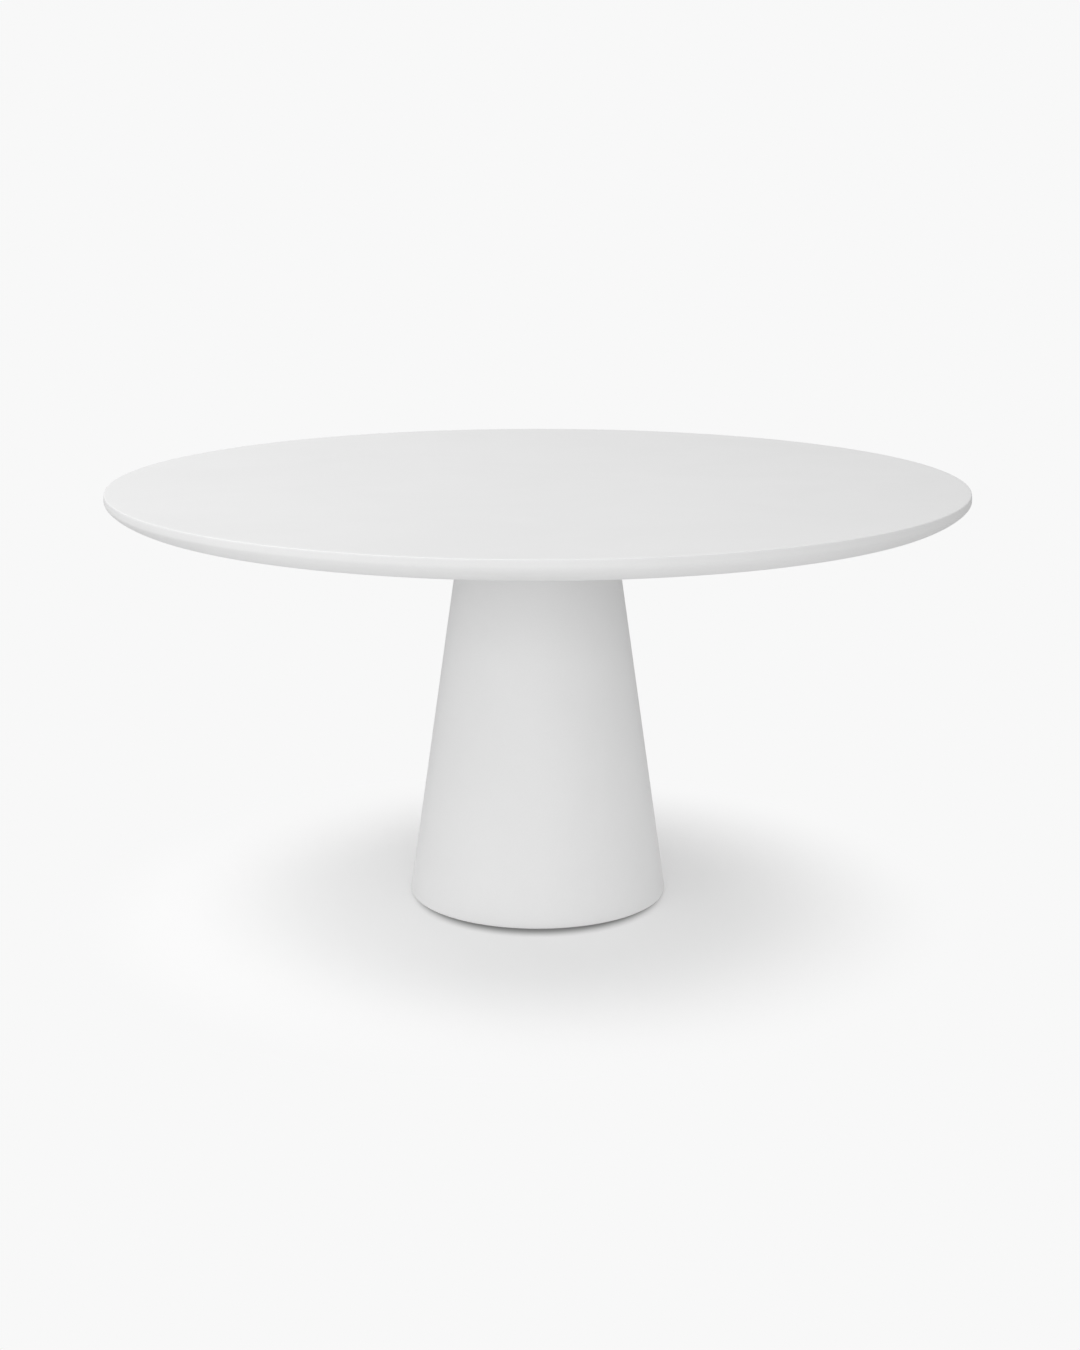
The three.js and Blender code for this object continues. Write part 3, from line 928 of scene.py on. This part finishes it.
@dataclass
class Top:
    """The slab, its threaded sleeves, the steel plate under it and the fixings that hold them together.

    Attributes:
        finishes: The table's materials.
        arris_inset: How far in from the widest point the flat starts.
        arris_radius: The rounding between the flat and the flank.
        flank_lean: How far the flank leans in, in radians.
        rim_drop: How far below the flat the slab is widest.
        belly_width: How far the belly runs in under the slab.
        belly_fullness: How full the belly is where it leaves the underside.
        belly_rise: How full it is where it meets the flank.
        recess_gap: The room round the plate in its recess.
        sleeve_radius: The sleeves, over their trimmed threads.
        sleeve_bore: The radius of a sleeve's hole.
        sleeve_room: The room round a sleeve in the slab.
        boss_radius: The boss under the plate.
        boss_weld: The leg of the weld round it.
        rod_hole: The radius of the tie rod's hole.
        bolt_count: How many bolts hold the plate.
        bolt_head: The width of a bolt's head.
        bolt_socket: The width of its socket across the flats.
        bolt_hole: The radius of its hole in the plate.
        screw_count: How many screws go into the neck disc.
        screw_head: The width of a screw's head.
        screw_socket: The width of its socket across the flats.
        screw_hole: The radius of its hole in the plate.
    """

    finishes: Finishes
    arris_inset: float = mm(3.0)
    arris_radius: float = mm(2.4)
    flank_lean: float = math.radians(6)
    rim_drop: float = mm(12)
    belly_width: float = mm(50)
    belly_fullness: float = 0.395
    belly_rise: float = 0.32
    recess_gap: float = mm(1)
    sleeve_radius: float = mm(6.1)
    sleeve_bore: float = mm(4.3)
    sleeve_room: float = mm(0.2)
    boss_radius: float = mm(18)
    boss_weld: float = mm(4)
    rod_hole: float = mm(6.3)
    bolt_count: int = 6
    bolt_head: float = mm(16)
    bolt_socket: float = mm(5)
    bolt_hole: float = mm(4.5)
    screw_count: int = 4
    screw_head: float = mm(12)
    screw_socket: float = mm(4)
    screw_hole: float = mm(3.5)

    def __post_init__(self) -> None:
        """Takes the heights, the radii and the rings from the frame."""
        self.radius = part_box("tabletop")[1].x
        self.underside, self.surface = heights("tabletop")
        self.plate_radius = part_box("mounting_plate")[1].x
        self.boss_bottom, self.plate_top = heights("mounting_plate")
        self.bolts = ring_of_nodes("plate_bolt", self.bolt_count)
        self.bolt_low, self.bolt_high = heights("plate_bolt_1")
        self.screws = ring_of_nodes("neck_screw", self.screw_count, math.pi / 4)
        self.screw_low = heights("neck_screw_1")[0]
        self.sleeve_top = heights("top_insert_1")[1]

    def arris(self) -> list[Point]:
        """The crisp rounding between the flank and the flat, from the flank up.

        Returns:
            Its points.
        """
        radius, steps = self.arris_radius, 8
        centre_x, centre_z = self.radius - self.arris_inset, self.surface - radius
        turn = math.pi / 2 - self.flank_lean
        angles = [self.flank_lean + turn * i / steps for i in range(steps + 1)]
        return [(centre_x + radius * math.cos(a), centre_z + radius * math.sin(a)) for a in angles]

    def edge(self) -> list[Point]:
        """The slab's edge, from the underside round its belly and up its flank to the flat.

        Returns:
            Its points.
        """
        flat = self.radius - self.belly_width
        rim = (self.radius, self.surface - self.rim_drop)
        belly = bezier(
            (flat, self.underside),
            (flat + self.belly_width * self.belly_fullness, self.underside),
            (rim[0], rim[1] - (rim[1] - self.underside) * self.belly_rise),
            rim,
            28,
        )
        arris = self.arris()
        lean = (self.radius - arris[0][0]) / math.tan(self.flank_lean)
        handle = (self.radius, arris[0][1] - lean)
        flank = bezier(rim, blend(rim, handle, 2 / 3), blend(arris[0], handle, 2 / 3), arris[0], 10)
        return [*belly, *flank[1:], *arris[1:]]

    def slab(self) -> None:
        """The slab, with its edge, and the recess and bores that take the plate and the sleeves."""
        recess = self.plate_radius + self.recess_gap
        edge = self.edge()
        flat_rings = [(radius, self.surface) for radius in (self.radius - mm(9), mm(600), mm(300))]
        profile = [
            (0, self.plate_top),
            (recess, self.plate_top),
            (recess, self.underside),
            (recess + mm(2), self.underside),
            (edge[0][0] - mm(3), self.underside),
            *edge,
            *flat_rings,
            (0, self.surface),
        ]
        piece = turned("coated_slab", profile, 288)
        hole = self.sleeve_radius + self.sleeve_room
        bore = peg("sleeve_hole", hole, self.plate_top - OVERCUT, self.sleeve_top + mm(1))
        cut_at(piece, bore, self.bolts)
        self.finishes.dress(smooth(piece), "coated_board", "tabletop")

    def sleeves(self) -> None:
        """The threaded sleeves in the slab."""
        low, high, radius = self.plate_top, self.sleeve_top, self.sleeve_radius
        envelope = bar(
            (radius - mm(0.8), low), (radius, low + mm(1)), (radius, high - mm(1.6)), (radius - mm(1), high)
        )
        pattern = SLEEVE_THREAD.trimmed("sleeve", envelope, low, high, 32)
        combine(pattern, peg("sleeve_bore", self.sleeve_bore, low - OVERCUT, high + OVERCUT), Fit.CUT)
        repeat = Repeat(smooth(pattern), "threaded_sleeve", "zinc_steel", "top_insert")
        self.finishes.set_ring(self.bolts, repeat)

    def plate(self) -> None:
        """The steel plate, with its welded boss, bolt holes and countersinks."""
        under, over, edge = self.underside, self.plate_top, mm(0.6)
        weld = quarter((self.boss_radius + self.boss_weld, under - self.boss_weld), self.boss_weld, 90, 5)
        outer = [
            (self.boss_radius - edge, self.boss_bottom),
            (self.boss_radius, self.boss_bottom + edge),
            *reversed(weld),
            (self.plate_radius - edge, under),
            (self.plate_radius, under + edge),
            (self.plate_radius, over - edge),
            (self.plate_radius - edge, over),
        ]
        inner = [(self.rod_hole, self.boss_bottom), (self.rod_hole, over)]
        piece = tube("steel_plate", inner, outer, 160)
        hole = self.bolt_hole
        bolt_hole = bar((hole + edge, under - OVERCUT), (hole, under + mm(0.5)), (hole, over + OVERCUT))
        cut_at(piece, turned("bolt_hole", bolt_hole, 48), self.bolts)
        shank, head = self.screw_hole, self.screw_head / 2 + mm(0.5)
        cone = over - (head - shank)
        sink = bar((shank, under - OVERCUT), (shank, cone), (head, over), (head, over + OVERCUT))
        cut_at(piece, turned("countersink", sink, 48), self.screws)
        self.finishes.dress(smooth(piece), "powder_coated_steel", "mounting_plate")

    def plate_bolts(self) -> None:
        """The button-head bolts, with hexagon sockets."""
        low, seat, high, head = self.bolt_low, self.underside, self.bolt_high, self.bolt_head / 2
        shoulder = seat - mm(0.9)
        turns = (0.5, 0.7, 0.9, 1.1, 1.3, 1.5)
        button = [
            (0, low),
            *((head * math.sin(t), shoulder - (shoulder - low) * math.cos(t)) for t in turns),
            (head, seat - mm(0.7)),
            (head, seat - mm(0.15)),
            (head - mm(0.15), seat),
            (mm(3.6), seat),
            (mm(3.6), seat + mm(1)),
            (0, seat + mm(1)),
        ]
        pattern = turned("bolt", button, 64)
        envelope = bar((mm(4.1), seat), (mm(4.1), high - mm(1)), (mm(3.1), high))
        combine(pattern, COARSE_M8.trimmed("shank", envelope, seat + mm(0.4), high), Fit.JOIN)
        combine(pattern, hexagon("socket", self.bolt_socket, low - OVERCUT, low + mm(2.6)), Fit.CUT)
        lead_in = bar((mm(3.4), low - mm(0.5)), (mm(2.3), low + mm(0.6)))
        combine(pattern, turned("lead_in", lead_in, 48), Fit.CUT)
        repeat = Repeat(smooth(pattern), "button_bolt", "zinc_steel", "plate_bolt")
        self.finishes.set_ring(self.bolts, repeat)

    def neck_screws(self) -> None:
        """The countersunk screws that hold the plate to the neck disc."""
        low, high, head, shank = self.screw_low, self.plate_top, self.screw_head / 2, mm(3.1)
        envelope = [(0, low), (shank, low + mm(7)), (shank, high), (0, high)]
        pattern = WOOD_SCREW.trimmed("screw", envelope, low, high - mm(4))
        top = bar((mm(2.1), high - mm(7)), (mm(2.1), high - mm(4.2)), (head, high - mm(0.4)), (head, high))
        combine(pattern, turned("screw_top", top, 48), Fit.JOIN)
        combine(pattern, hexagon("screw_socket", self.screw_socket, high - mm(2.4), high + OVERCUT), Fit.CUT)
        repeat = Repeat(smooth(pattern), "countersunk_screw", "zinc_steel", "neck_screw")
        self.finishes.set_ring(self.screws, repeat)

    def build(self) -> None:
        """Builds the whole top."""
        self.slab()
        self.sleeves()
        self.plate()
        self.plate_bolts()
        self.neck_screws()


# ---------------------------------------------------------------- the pedestal


@dataclass
class Pedestal:
    """The hollow cone with its discs, tie rod and ballast.

    Attributes:
        finishes: The table's materials.
        floor_radius: The cone's outer radius, drawn on down to the floor.
        neck_radius: Its outer radius at the neck.
        wall: How thick it is, level across.
        rim_round: The rounding of its rim.
        glue_gap: The room round each disc.
        neck_hole: The radius of the neck disc's hole, round the boss.
        former_hole: The radius of the mid former's hole.
        rod_hole: The radius of the tie rod's hole in the base disc and the washer.
        washer_radius: The tie rod's washer.
        washer_room: The room round it in its pocket.
        nut_flats: The width of the tie rod's nut across the flats.
        pilot_hole: The radius of the neck screws' holes.
        ballast_plates: How many plates the ballast has.
        ballast_bore: The radius of the hole in their middle.
        ballast_bolts: How many bolts hold them.
        ballast_hole: The radius of the bolts' holes.
        ballast_sink: The radius of the sinkings for their heads.
        ballast_head: The radius of a bolt's head.
        ballast_flats: The width of its nut across the flats.
        foot_count: How many feet the base disc takes.
        foot_hole: The radius of the hole for a foot's insert.
        stud_hole: The radius of the hole beyond it, for the stud.
        screw_count: How many screws go into the neck disc.
    """

    finishes: Finishes
    floor_radius: float = mm(232.5)
    neck_radius: float = mm(130)
    wall: float = mm(14)
    rim_round: float = mm(3)
    glue_gap: float = mm(0.3)
    neck_hole: float = mm(18.5)
    former_hole: float = mm(60)
    rod_hole: float = mm(6.5)
    washer_radius: float = mm(18)
    washer_room: float = mm(1.5)
    nut_flats: float = mm(18)
    pilot_hole: float = mm(3.3)
    ballast_plates: int = 3
    ballast_bore: float = mm(8)
    ballast_bolts: int = 3
    ballast_hole: float = mm(5.5)
    ballast_sink: float = mm(12.5)
    ballast_head: float = mm(11)
    ballast_flats: float = mm(16)
    foot_count: int = 6
    foot_hole: float = mm(6.3)
    stud_hole: float = mm(4.5)
    screw_count: int = 4

    def __post_init__(self) -> None:
        """Takes the cone's heights and the rings from the frame."""
        self.rim, self.neck = heights("pedestal_shell")
        self.bolts = ring_of_nodes("ballast_bolt", self.ballast_bolts, math.pi / 2)
        self.feet = ring_of_nodes("glide_insert", self.foot_count)
        self.screws = ring_of_nodes("neck_screw", self.screw_count, math.pi / 4)

    def outer(self, height: float) -> float:
        """The cone's outer radius at a height."""
        return self.floor_radius + (self.neck_radius - self.floor_radius) * height / self.neck

    def inner(self, height: float) -> float:
        """The cone's inner radius at a height."""
        return self.outer(height) - self.wall

    def shell(self) -> None:
        """The cone itself, with its rounded rim."""
        side = self.rim + self.rim_round
        corner = (self.outer(self.rim), self.rim)
        start, end = (corner[0] - self.rim_round, self.rim), (self.outer(side), side)
        rim = bezier(start, blend(start, corner, 0.6), blend(end, corner, 0.6), end, 12)
        rings = (mm(12), mm(60), mm(200), mm(380), mm(560), self.neck - mm(4), self.neck)
        outer = [*rim, *((self.outer(z), z) for z in rings)]
        inner = [(self.inner(z), z) for z in (self.rim, mm(200), mm(450), self.neck)]
        piece = tube("coated_cone", inner, outer, 192)
        self.finishes.dress(piece, "coated_concrete", "pedestal_shell")

    def cone_disc(self, name: str, node: str, hole: float) -> Object:
        """A plywood disc that fits the cone.

        Args:
            name: Its name.
            node: The node that it stands for, which gives its heights.
            hole: The radius of its hole.

        Returns:
            The disc, with eased edges.
        """
        low, high = heights(node)
        edge = mm(0.8)
        fit = [self.inner(z) - self.glue_gap for z in (low, high)]
        outer = [(fit[0] - edge, low), (fit[0], low + edge), (fit[1], high - edge), (fit[1] - edge, high)]
        inner = [(hole + edge, low), (hole, low + edge), (hole, high - edge), (hole + edge, high)]
        return tube(name, inner, outer, 128)

    def discs(self) -> None:
        """The neck disc, the mid former and the base disc."""
        low, high = heights("neck_disc")
        neck = self.cone_disc("neck_ply", "neck_disc", self.neck_hole)
        cut_at(neck, peg("pilot", self.pilot_hole, low + mm(7), high + OVERCUT, 24), self.screws)
        self.finishes.dress(smooth(neck), "plywood", "neck_disc")
        former = self.cone_disc("former_ply", "mid_former", self.former_hole)
        self.finishes.dress(former, "plywood", "mid_former")
        self.base_disc()

    def base_disc(self) -> None:
        """The disc in the foot of the cone, bored for rod, ballast bolts and feet."""
        low, high = heights("base_disc")
        under, over = low - OVERCUT, high + OVERCUT
        base = self.cone_disc("base_ply", "base_disc", self.rod_hole)
        pocket = self.washer_radius + self.washer_room
        combine(base, peg("rod_pocket", pocket, under, heights("tie_rod_washer")[1], 64), Fit.CUT)
        sink, hole, step = self.ballast_sink, self.ballast_hole, low + mm(6)
        bolt_bore = bar((sink, under), (sink, step), (hole, step), (hole, over))
        cut_at(base, turned("ballast_hole", bolt_bore, 40), self.bolts)
        step, end = heights("glide_insert_1")[1], heights("glide_stud_1")[1] + mm(1)
        wide, narrow = self.foot_hole, self.stud_hole
        foot_bore = bar((wide, under), (wide, step), (narrow, step), (narrow, end))
        cut_at(base, turned("foot_bore", foot_bore, 32), self.feet)
        self.finishes.dress(smooth(base), "plywood", "base_disc")

    def tie_rod(self) -> None:
        """The rod, threaded at both ends, with its washer and nut."""
        low, high = heights("tie_rod")
        root, crest = mm(5.2), mm(6.1)
        rod = peg("steel_rod", mm(5.4), low + mm(50), high - mm(40), 40)
        for name, start, end in (("foot_thread", low, low + mm(51)), ("head_thread", high - mm(41), high)):
            ends = bar((root, start), (crest, start + mm(1)), (crest, end - mm(1)), (root, end))
            combine(rod, COARSE_M12.trimmed(name, ends, start, end, 32), Fit.JOIN)
        self.finishes.dress(smooth(rod), "zinc_steel", "tie_rod")
        low, high = heights("tie_rod_washer")
        inner = [(self.rod_hole, low), (self.rod_hole, high)]
        washer = tube("rod_washer", inner, eased_flank(self.washer_radius, low, high, mm(0.4)), 64)
        self.finishes.dress(washer, "zinc_steel", "tie_rod_washer")
        nut = self.nut("rod_nut", "tie_rod_nut", self.nut_flats, mm(6.3))
        self.finishes.dress(nut, "zinc_steel", "tie_rod_nut")

    @staticmethod
    def nut(name: str, node: str, flats: float, hole: float) -> Object:
        """A hexagon nut with chamfered corners and a lead-in at both ends of its hole.

        Args:
            name: Its name.
            node: The node that gives its heights.
            flats: Its width across the flats.
            hole: The radius of its hole.

        Returns:
            The nut.
        """
        low, high = heights(node)
        lead, over = hole + mm(0.7), mm(0.5)
        bore = bar(
            (lead, low - over),
            (lead, low),
            (hole, low + mm(0.7)),
            (hole, high - mm(0.7)),
            (lead, high),
            (lead, high + over),
        )
        piece = nut_blank(name, flats, low, high, mm(1.2), 64)
        return smooth(combine(piece, turned("nut_bore", bore, 48), Fit.CUT))

    def ballast(self) -> None:
        """The steel plates on the base disc, with their bolts and nuts."""
        for number in range(1, self.ballast_plates + 1):
            node = f"ballast_plate_{number}"
            low, high = heights(node)
            inner = [(self.ballast_bore, low), (self.ballast_bore, high)]
            outer = eased_flank(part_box(node)[1].x, low, high, mm(0.5))
            plate = tube(f"ballast_disc_{number}", inner, outer, 128)
            bolt_bore = peg("ballast_hole", self.ballast_hole, low - OVERCUT, high + OVERCUT, 40)
            cut_at(plate, bolt_bore, self.bolts)
            self.finishes.dress(smooth(plate), "black_steel", node)
        nut = self.nut("ballast_nut", "ballast_nut_1", self.ballast_flats, mm(5.3))
        self.finishes.set_ring(
            self.bolts,
            Repeat(self.ballast_bolt(), "domed_bolt", "zinc_steel", "ballast_bolt"),
            Repeat(nut, "hex_nut", "zinc_steel", "ballast_nut"),
        )

    def ballast_bolt(self) -> Object:
        """A domed bolt, threaded at its upper end.

        Returns:
            The bolt.
        """
        low, high = heights("ballast_bolt_1")
        seat, head, shank, crest = low + mm(5), self.ballast_head, mm(4.9), mm(5.1)
        turns = (0.0, 0.3, 0.6, 0.9, 1.2, 1.45)
        profile = [
            *((head * math.sin(t), low + mm(4.4) * (1 - math.cos(t))) for t in turns),
            (head, seat - mm(0.2)),
            (head - mm(0.2), seat),
            (shank, seat),
            (shank, high - mm(24)),
            (0, high - mm(24)),
        ]
        bolt = turned("domed_bolt", profile, 56)
        start = high - mm(25)
        end = bar((crest, start), (crest, high - mm(1)), (mm(4.1), high))
        return smooth(combine(bolt, COARSE_M10.trimmed("bolt_thread", end, start, high, 28), Fit.JOIN))

    def build(self) -> None:
        """Builds the whole pedestal."""
        self.shell()
        self.discs()
        self.tie_rod()
        self.ballast()


# ---------------------------------------------------------------- the feet


@dataclass
class Feet:
    """The levelling feet: a flanged insert, a stud with a hexagon collar, and a nylon pad.

    Attributes:
        finishes: The table's materials.
        count: How many there are.
        pad_radius: The pad.
        spigot_radius: The stud's spigot, which the pad turns on.
        collar_flats: The width of the stud's collar across the flats.
        flange_radius: The insert's flange.
    """

    finishes: Finishes
    count: int = 6
    pad_radius: float = mm(17)
    spigot_radius: float = mm(5)
    collar_flats: float = mm(14)
    flange_radius: float = mm(12)

    def __post_init__(self) -> None:
        """Takes the heights and the ring from the frame."""
        self.spots = ring_of_nodes("glide_pad", self.count)
        self.pad_top = heights("glide_pad_1")[1]
        self.stud_low, self.stud_high = heights("glide_stud_1")
        self.insert_low, self.insert_high = heights("glide_insert_1")

    def pad(self) -> Object:
        """The pad, with a rounded foot, a dished top and the socket that the stud turns in.

        Returns:
            The pad, on the axis.
        """
        top, radius, socket = self.pad_top, self.pad_radius, self.spigot_radius + mm(0.3)
        foot = quarter((radius - mm(1.5), mm(1.5)), mm(1.5), -90, 6)
        shoulder = quarter((radius - mm(1.2), top - mm(1.2)), mm(1.2), 0, 5)
        profile = [
            (0, mm(0.4)),
            (mm(9), mm(0.4)),
            (mm(9.6), 0),
            *foot,
            *shoulder,
            (radius - mm(3), top),
            (radius - mm(3.8), top - mm(0.7)),
            (socket + mm(3), top - mm(0.7)),
            (socket + mm(2.2), top),
            (socket + mm(0.3), top),
            (socket, top - mm(0.3)),
            (socket, self.stud_low),
            (0, self.stud_low),
        ]
        return turned("pad", profile, 72)

    def stud(self) -> Object:
        """The stud, with its spigot, hexagon collar and thread.

        Returns:
            The stud, on the axis.
        """
        low, high, end = self.pad_top, self.insert_low - mm(0.3), self.stud_high
        radius, edge, crest = self.spigot_radius, mm(0.3), mm(4.1)
        piece = nut_blank("stud", self.collar_flats, low, high, mm(1), 48)
        spigot = bar((radius - edge, self.stud_low), (radius, self.stud_low + edge), (radius, low + mm(1)))
        combine(piece, turned("spigot", spigot, 40), Fit.JOIN)
        tip = bar((crest, low), (crest, end - mm(1)), (mm(3.1), end))
        return smooth(combine(piece, COARSE_M8.trimmed("stud_thread", tip, high - mm(1), end), Fit.JOIN))

    def insert(self) -> Object:
        """The flanged insert, with a threaded barrel.

        Returns:
            The insert, on the axis.
        """
        low, high, flange = self.insert_low, self.insert_high, self.flange_radius
        seat = heights("base_disc")[0]
        hole, lead, crest, edge = mm(4.3), mm(5), mm(6.1), mm(0.3)
        profile = bar(
            (flange - mm(0.8), low),
            (flange, low + mm(0.8)),
            (flange, seat - edge),
            (flange - edge, seat),
            (mm(5), seat),
            (mm(5), seat + mm(1)),
        )
        body = turned("insert", profile, 64)
        tip = bar((crest, seat), (crest, high - mm(2)), (mm(5), high))
        combine(body, SLEEVE_THREAD.trimmed("barrel", tip, seat, high, 32), Fit.JOIN)
        bore = bar((lead, low - OVERCUT), (lead, low), (hole, low + mm(0.7)), (hole, high + OVERCUT))
        return smooth(combine(body, turned("insert_bore", bore, 32), Fit.CUT))

    def build(self) -> None:
        """Builds every foot."""
        self.finishes.set_ring(
            self.spots,
            Repeat(self.insert(), "flanged_insert", "zinc_steel", "glide_insert"),
            Repeat(self.stud(), "levelling_stud", "zinc_steel", "glide_stud", "foot_{}_stud"),
            Repeat(self.pad(), "nylon_pad", "nylon", "glide_pad", "foot_{}_pad"),
        )


# ---------------------------------------------------------------- the studio


@dataclass(frozen=True)
class Softbox:
    """A square soft light.

    Attributes:
        name: Its name.
        place: Where it hangs.
        size: Its side.
        power: In watts.
    """

    name: str
    place: Place
    size: float
    power: float

    def hang(self, aim: Vector) -> None:
        """Hangs the light.

        Args:
            aim: The point that it faces.
        """
        light = bpy.data.lights.new(self.name, "AREA")
        light.shape = "SQUARE"
        light.size = self.size
        light.energy = self.power
        lamp = bpy.data.objects.new(self.name, light)
        bpy.context.scene.collection.objects.link(lamp)
        lamp.location = self.place
        lamp.rotation_euler = (aim - Vector(self.place)).to_track_quat("-Z", "Y").to_euler()


@dataclass(frozen=True)
class Studio:
    """A white studio: a pale floor that runs into the backdrop, soft lights, and the camera.

    Attributes:
        backdrop: The backdrop's level.
        sky: The level of the soft light from above the horizon.
        ground: The level of the soft light from below the horizon.
        floor_tone: The floor's tone.
        floor_lift: The floor's own glow.
        floor_reach: Where the floor starts and ends its run into the backdrop, from the table's axis.
        floor_radius: How far the floor goes.
        floor_centre: The middle of the floor.
        painted_shadow_centre: The middle of the soft shadow painted into the floor's colour round the foot of
            the pedestal.
        painted_shadow_edge: Where that painted shadow starts and ends its fade, from its middle.
        painted_shadow_least: The share of the floor's tone that is left where the painted shadow is deepest.
        softboxes: The lights.
        lens: The camera's focal length in millimetres, on a 36 mm long side.
        eye: Where the camera stands.
        pitch: How far the camera looks down, in radians.
        aim: The point that the lights face.
        horizon: How far the soft light's two levels run into each other, up and down from the horizon.
    """

    backdrop: float = 0.939
    sky: float = 0.655
    ground: float = 0.514
    floor_tone: float = 0.85
    floor_lift: float = 0.14
    floor_reach: tuple[float, float] = (0.33, 0.80)
    floor_radius: float = 1.0
    floor_centre: Place = (-0.05, -0.06, 0.0)
    painted_shadow_centre: Place = (0.0, mm(-38), 0.0)
    painted_shadow_edge: tuple[float, float] = (mm(190), mm(230))
    painted_shadow_least: float = 0.22
    softboxes: tuple[Softbox, ...] = (
        Softbox("front", (0.0, -3.96, 1.06), 2.2, 45.0),
        Softbox("front_left", (-2.55, -3.03, 1.06), 2.2, 18.5),
        Softbox("high_left", (-2.0, 0.0, 3.96), 2.2, 66.0),
    )
    lens: float = 58.35
    eye: Place = (mm(3.8), mm(-3818), mm(1318.5))
    pitch: float = 0.2359
    aim: Place = (0.0, 0.0, mm(500))
    horizon: float = 0.05

    def floor(self) -> None:
        """The floor, with a shadow painted round the foot, as bright as the backdrop further out, and clear
        from below.
        """
        bpy.ops.object.select_all(action="DESELECT")
        bpy.ops.mesh.primitive_circle_add(vertices=128, radius=self.floor_radius, fill_type="TRIFAN")
        piece = bpy.context.object
        piece.name = "studio_floor"
        piece.location = self.floor_centre
        recipe = Recipe("studio_floor")
        recipe.tree.nodes.remove(recipe.shader)
        place = recipe.place()
        # Painted shadow: the floor's tone darkens smoothly within a soft disc set a little forward of the
        # pedestal's foot.
        centre = Vector(self.painted_shadow_centre) - Vector(self.floor_centre)
        gap = recipe.add("ShaderNodeVectorMath", {0: place, 1: centre}, operation="DISTANCE").outputs["Value"]
        shade = recipe.spread(gap, *self.painted_shadow_edge, self.painted_shadow_least, 1, "SMOOTHSTEP")
        tone = recipe.scaled((self.floor_tone,) * 3, shade)
        near = recipe.add("ShaderNodeBsdfDiffuse", {"Color": tone})
        lift = recipe.add("ShaderNodeEmission", {"Strength": self.floor_lift})
        lit = recipe.add("ShaderNodeAddShader", {0: near.outputs[0], 1: lift.outputs[0]})
        far = recipe.add("ShaderNodeEmission", {"Strength": self.backdrop})
        reach = recipe.add("ShaderNodeVectorMath", {0: place}, operation="LENGTH").outputs["Value"]
        fade = recipe.spread(reach, *self.floor_reach, 0, 1, "SMOOTHSTEP")
        seen = recipe.add("ShaderNodeMixShader", {0: fade, 1: lit.outputs[0], 2: far.outputs[0]})
        under = recipe.add("ShaderNodeNewGeometry").outputs["Backfacing"]
        clear = recipe.add("ShaderNodeBsdfTransparent")
        sides = recipe.add("ShaderNodeMixShader", {0: under, 1: seen.outputs[0], 2: clear.outputs[0]})
        out = recipe.tree.nodes["Material Output"]
        recipe.tree.links.new(sides.outputs[0], out.inputs["Surface"])
        piece.data.materials.append(recipe.material)

    def world(self) -> None:
        """Soft light from all round, with the flat backdrop behind the table."""
        world = bpy.data.worlds.new("studio")
        bpy.context.scene.world = world
        world.use_nodes = True
        nodes = Nodes(world.node_tree)
        nodes.tree.nodes.clear()
        way = nodes.add("ShaderNodeTexCoord").outputs["Generated"]
        height = nodes.add("ShaderNodeSeparateXYZ", {"Vector": way}).outputs["Z"]
        level = nodes.spread(height, -self.horizon, self.horizon, self.ground, self.sky)
        white = (1, 1, 1, 1)
        soft = nodes.add("ShaderNodeBackground", {"Color": white, "Strength": level})
        seen = nodes.add("ShaderNodeBackground", {"Color": white, "Strength": self.backdrop})
        ray = nodes.add("ShaderNodeLightPath").outputs["Is Camera Ray"]
        mix = nodes.add("ShaderNodeMixShader", {0: ray, 1: soft.outputs[0], 2: seen.outputs[0]})
        nodes.add("ShaderNodeOutputWorld", {"Surface": mix.outputs[0]})

    def camera(self) -> None:
        """The camera at its height, looking a little down."""
        lens = bpy.data.cameras.new("camera")
        lens.lens = self.lens
        lens.sensor_width = 36.0
        lens.clip_end = 100.0
        camera = bpy.data.objects.new("camera", lens)
        bpy.context.scene.collection.objects.link(camera)
        camera.location = self.eye
        camera.rotation_euler = (math.pi / 2 - self.pitch, 0, 0)
        bpy.context.scene.camera = camera

    def build(self) -> None:
        """Sets up the whole studio."""
        self.camera()
        self.world()
        self.floor()
        for softbox in self.softboxes:
            softbox.hang(Vector(self.aim))
        bpy.context.scene.view_settings.view_transform = "Standard"


def main() -> None:
    """Builds the table around its frame."""
    logging.basicConfig(level=logging.INFO, format="%(name)s: %(message)s")
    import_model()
    Studio().build()
    finishes = Finishes()
    Top(finishes).build()
    Pedestal(finishes).build()
    Feet(finishes).build()


if __name__ == "__main__":
    main()
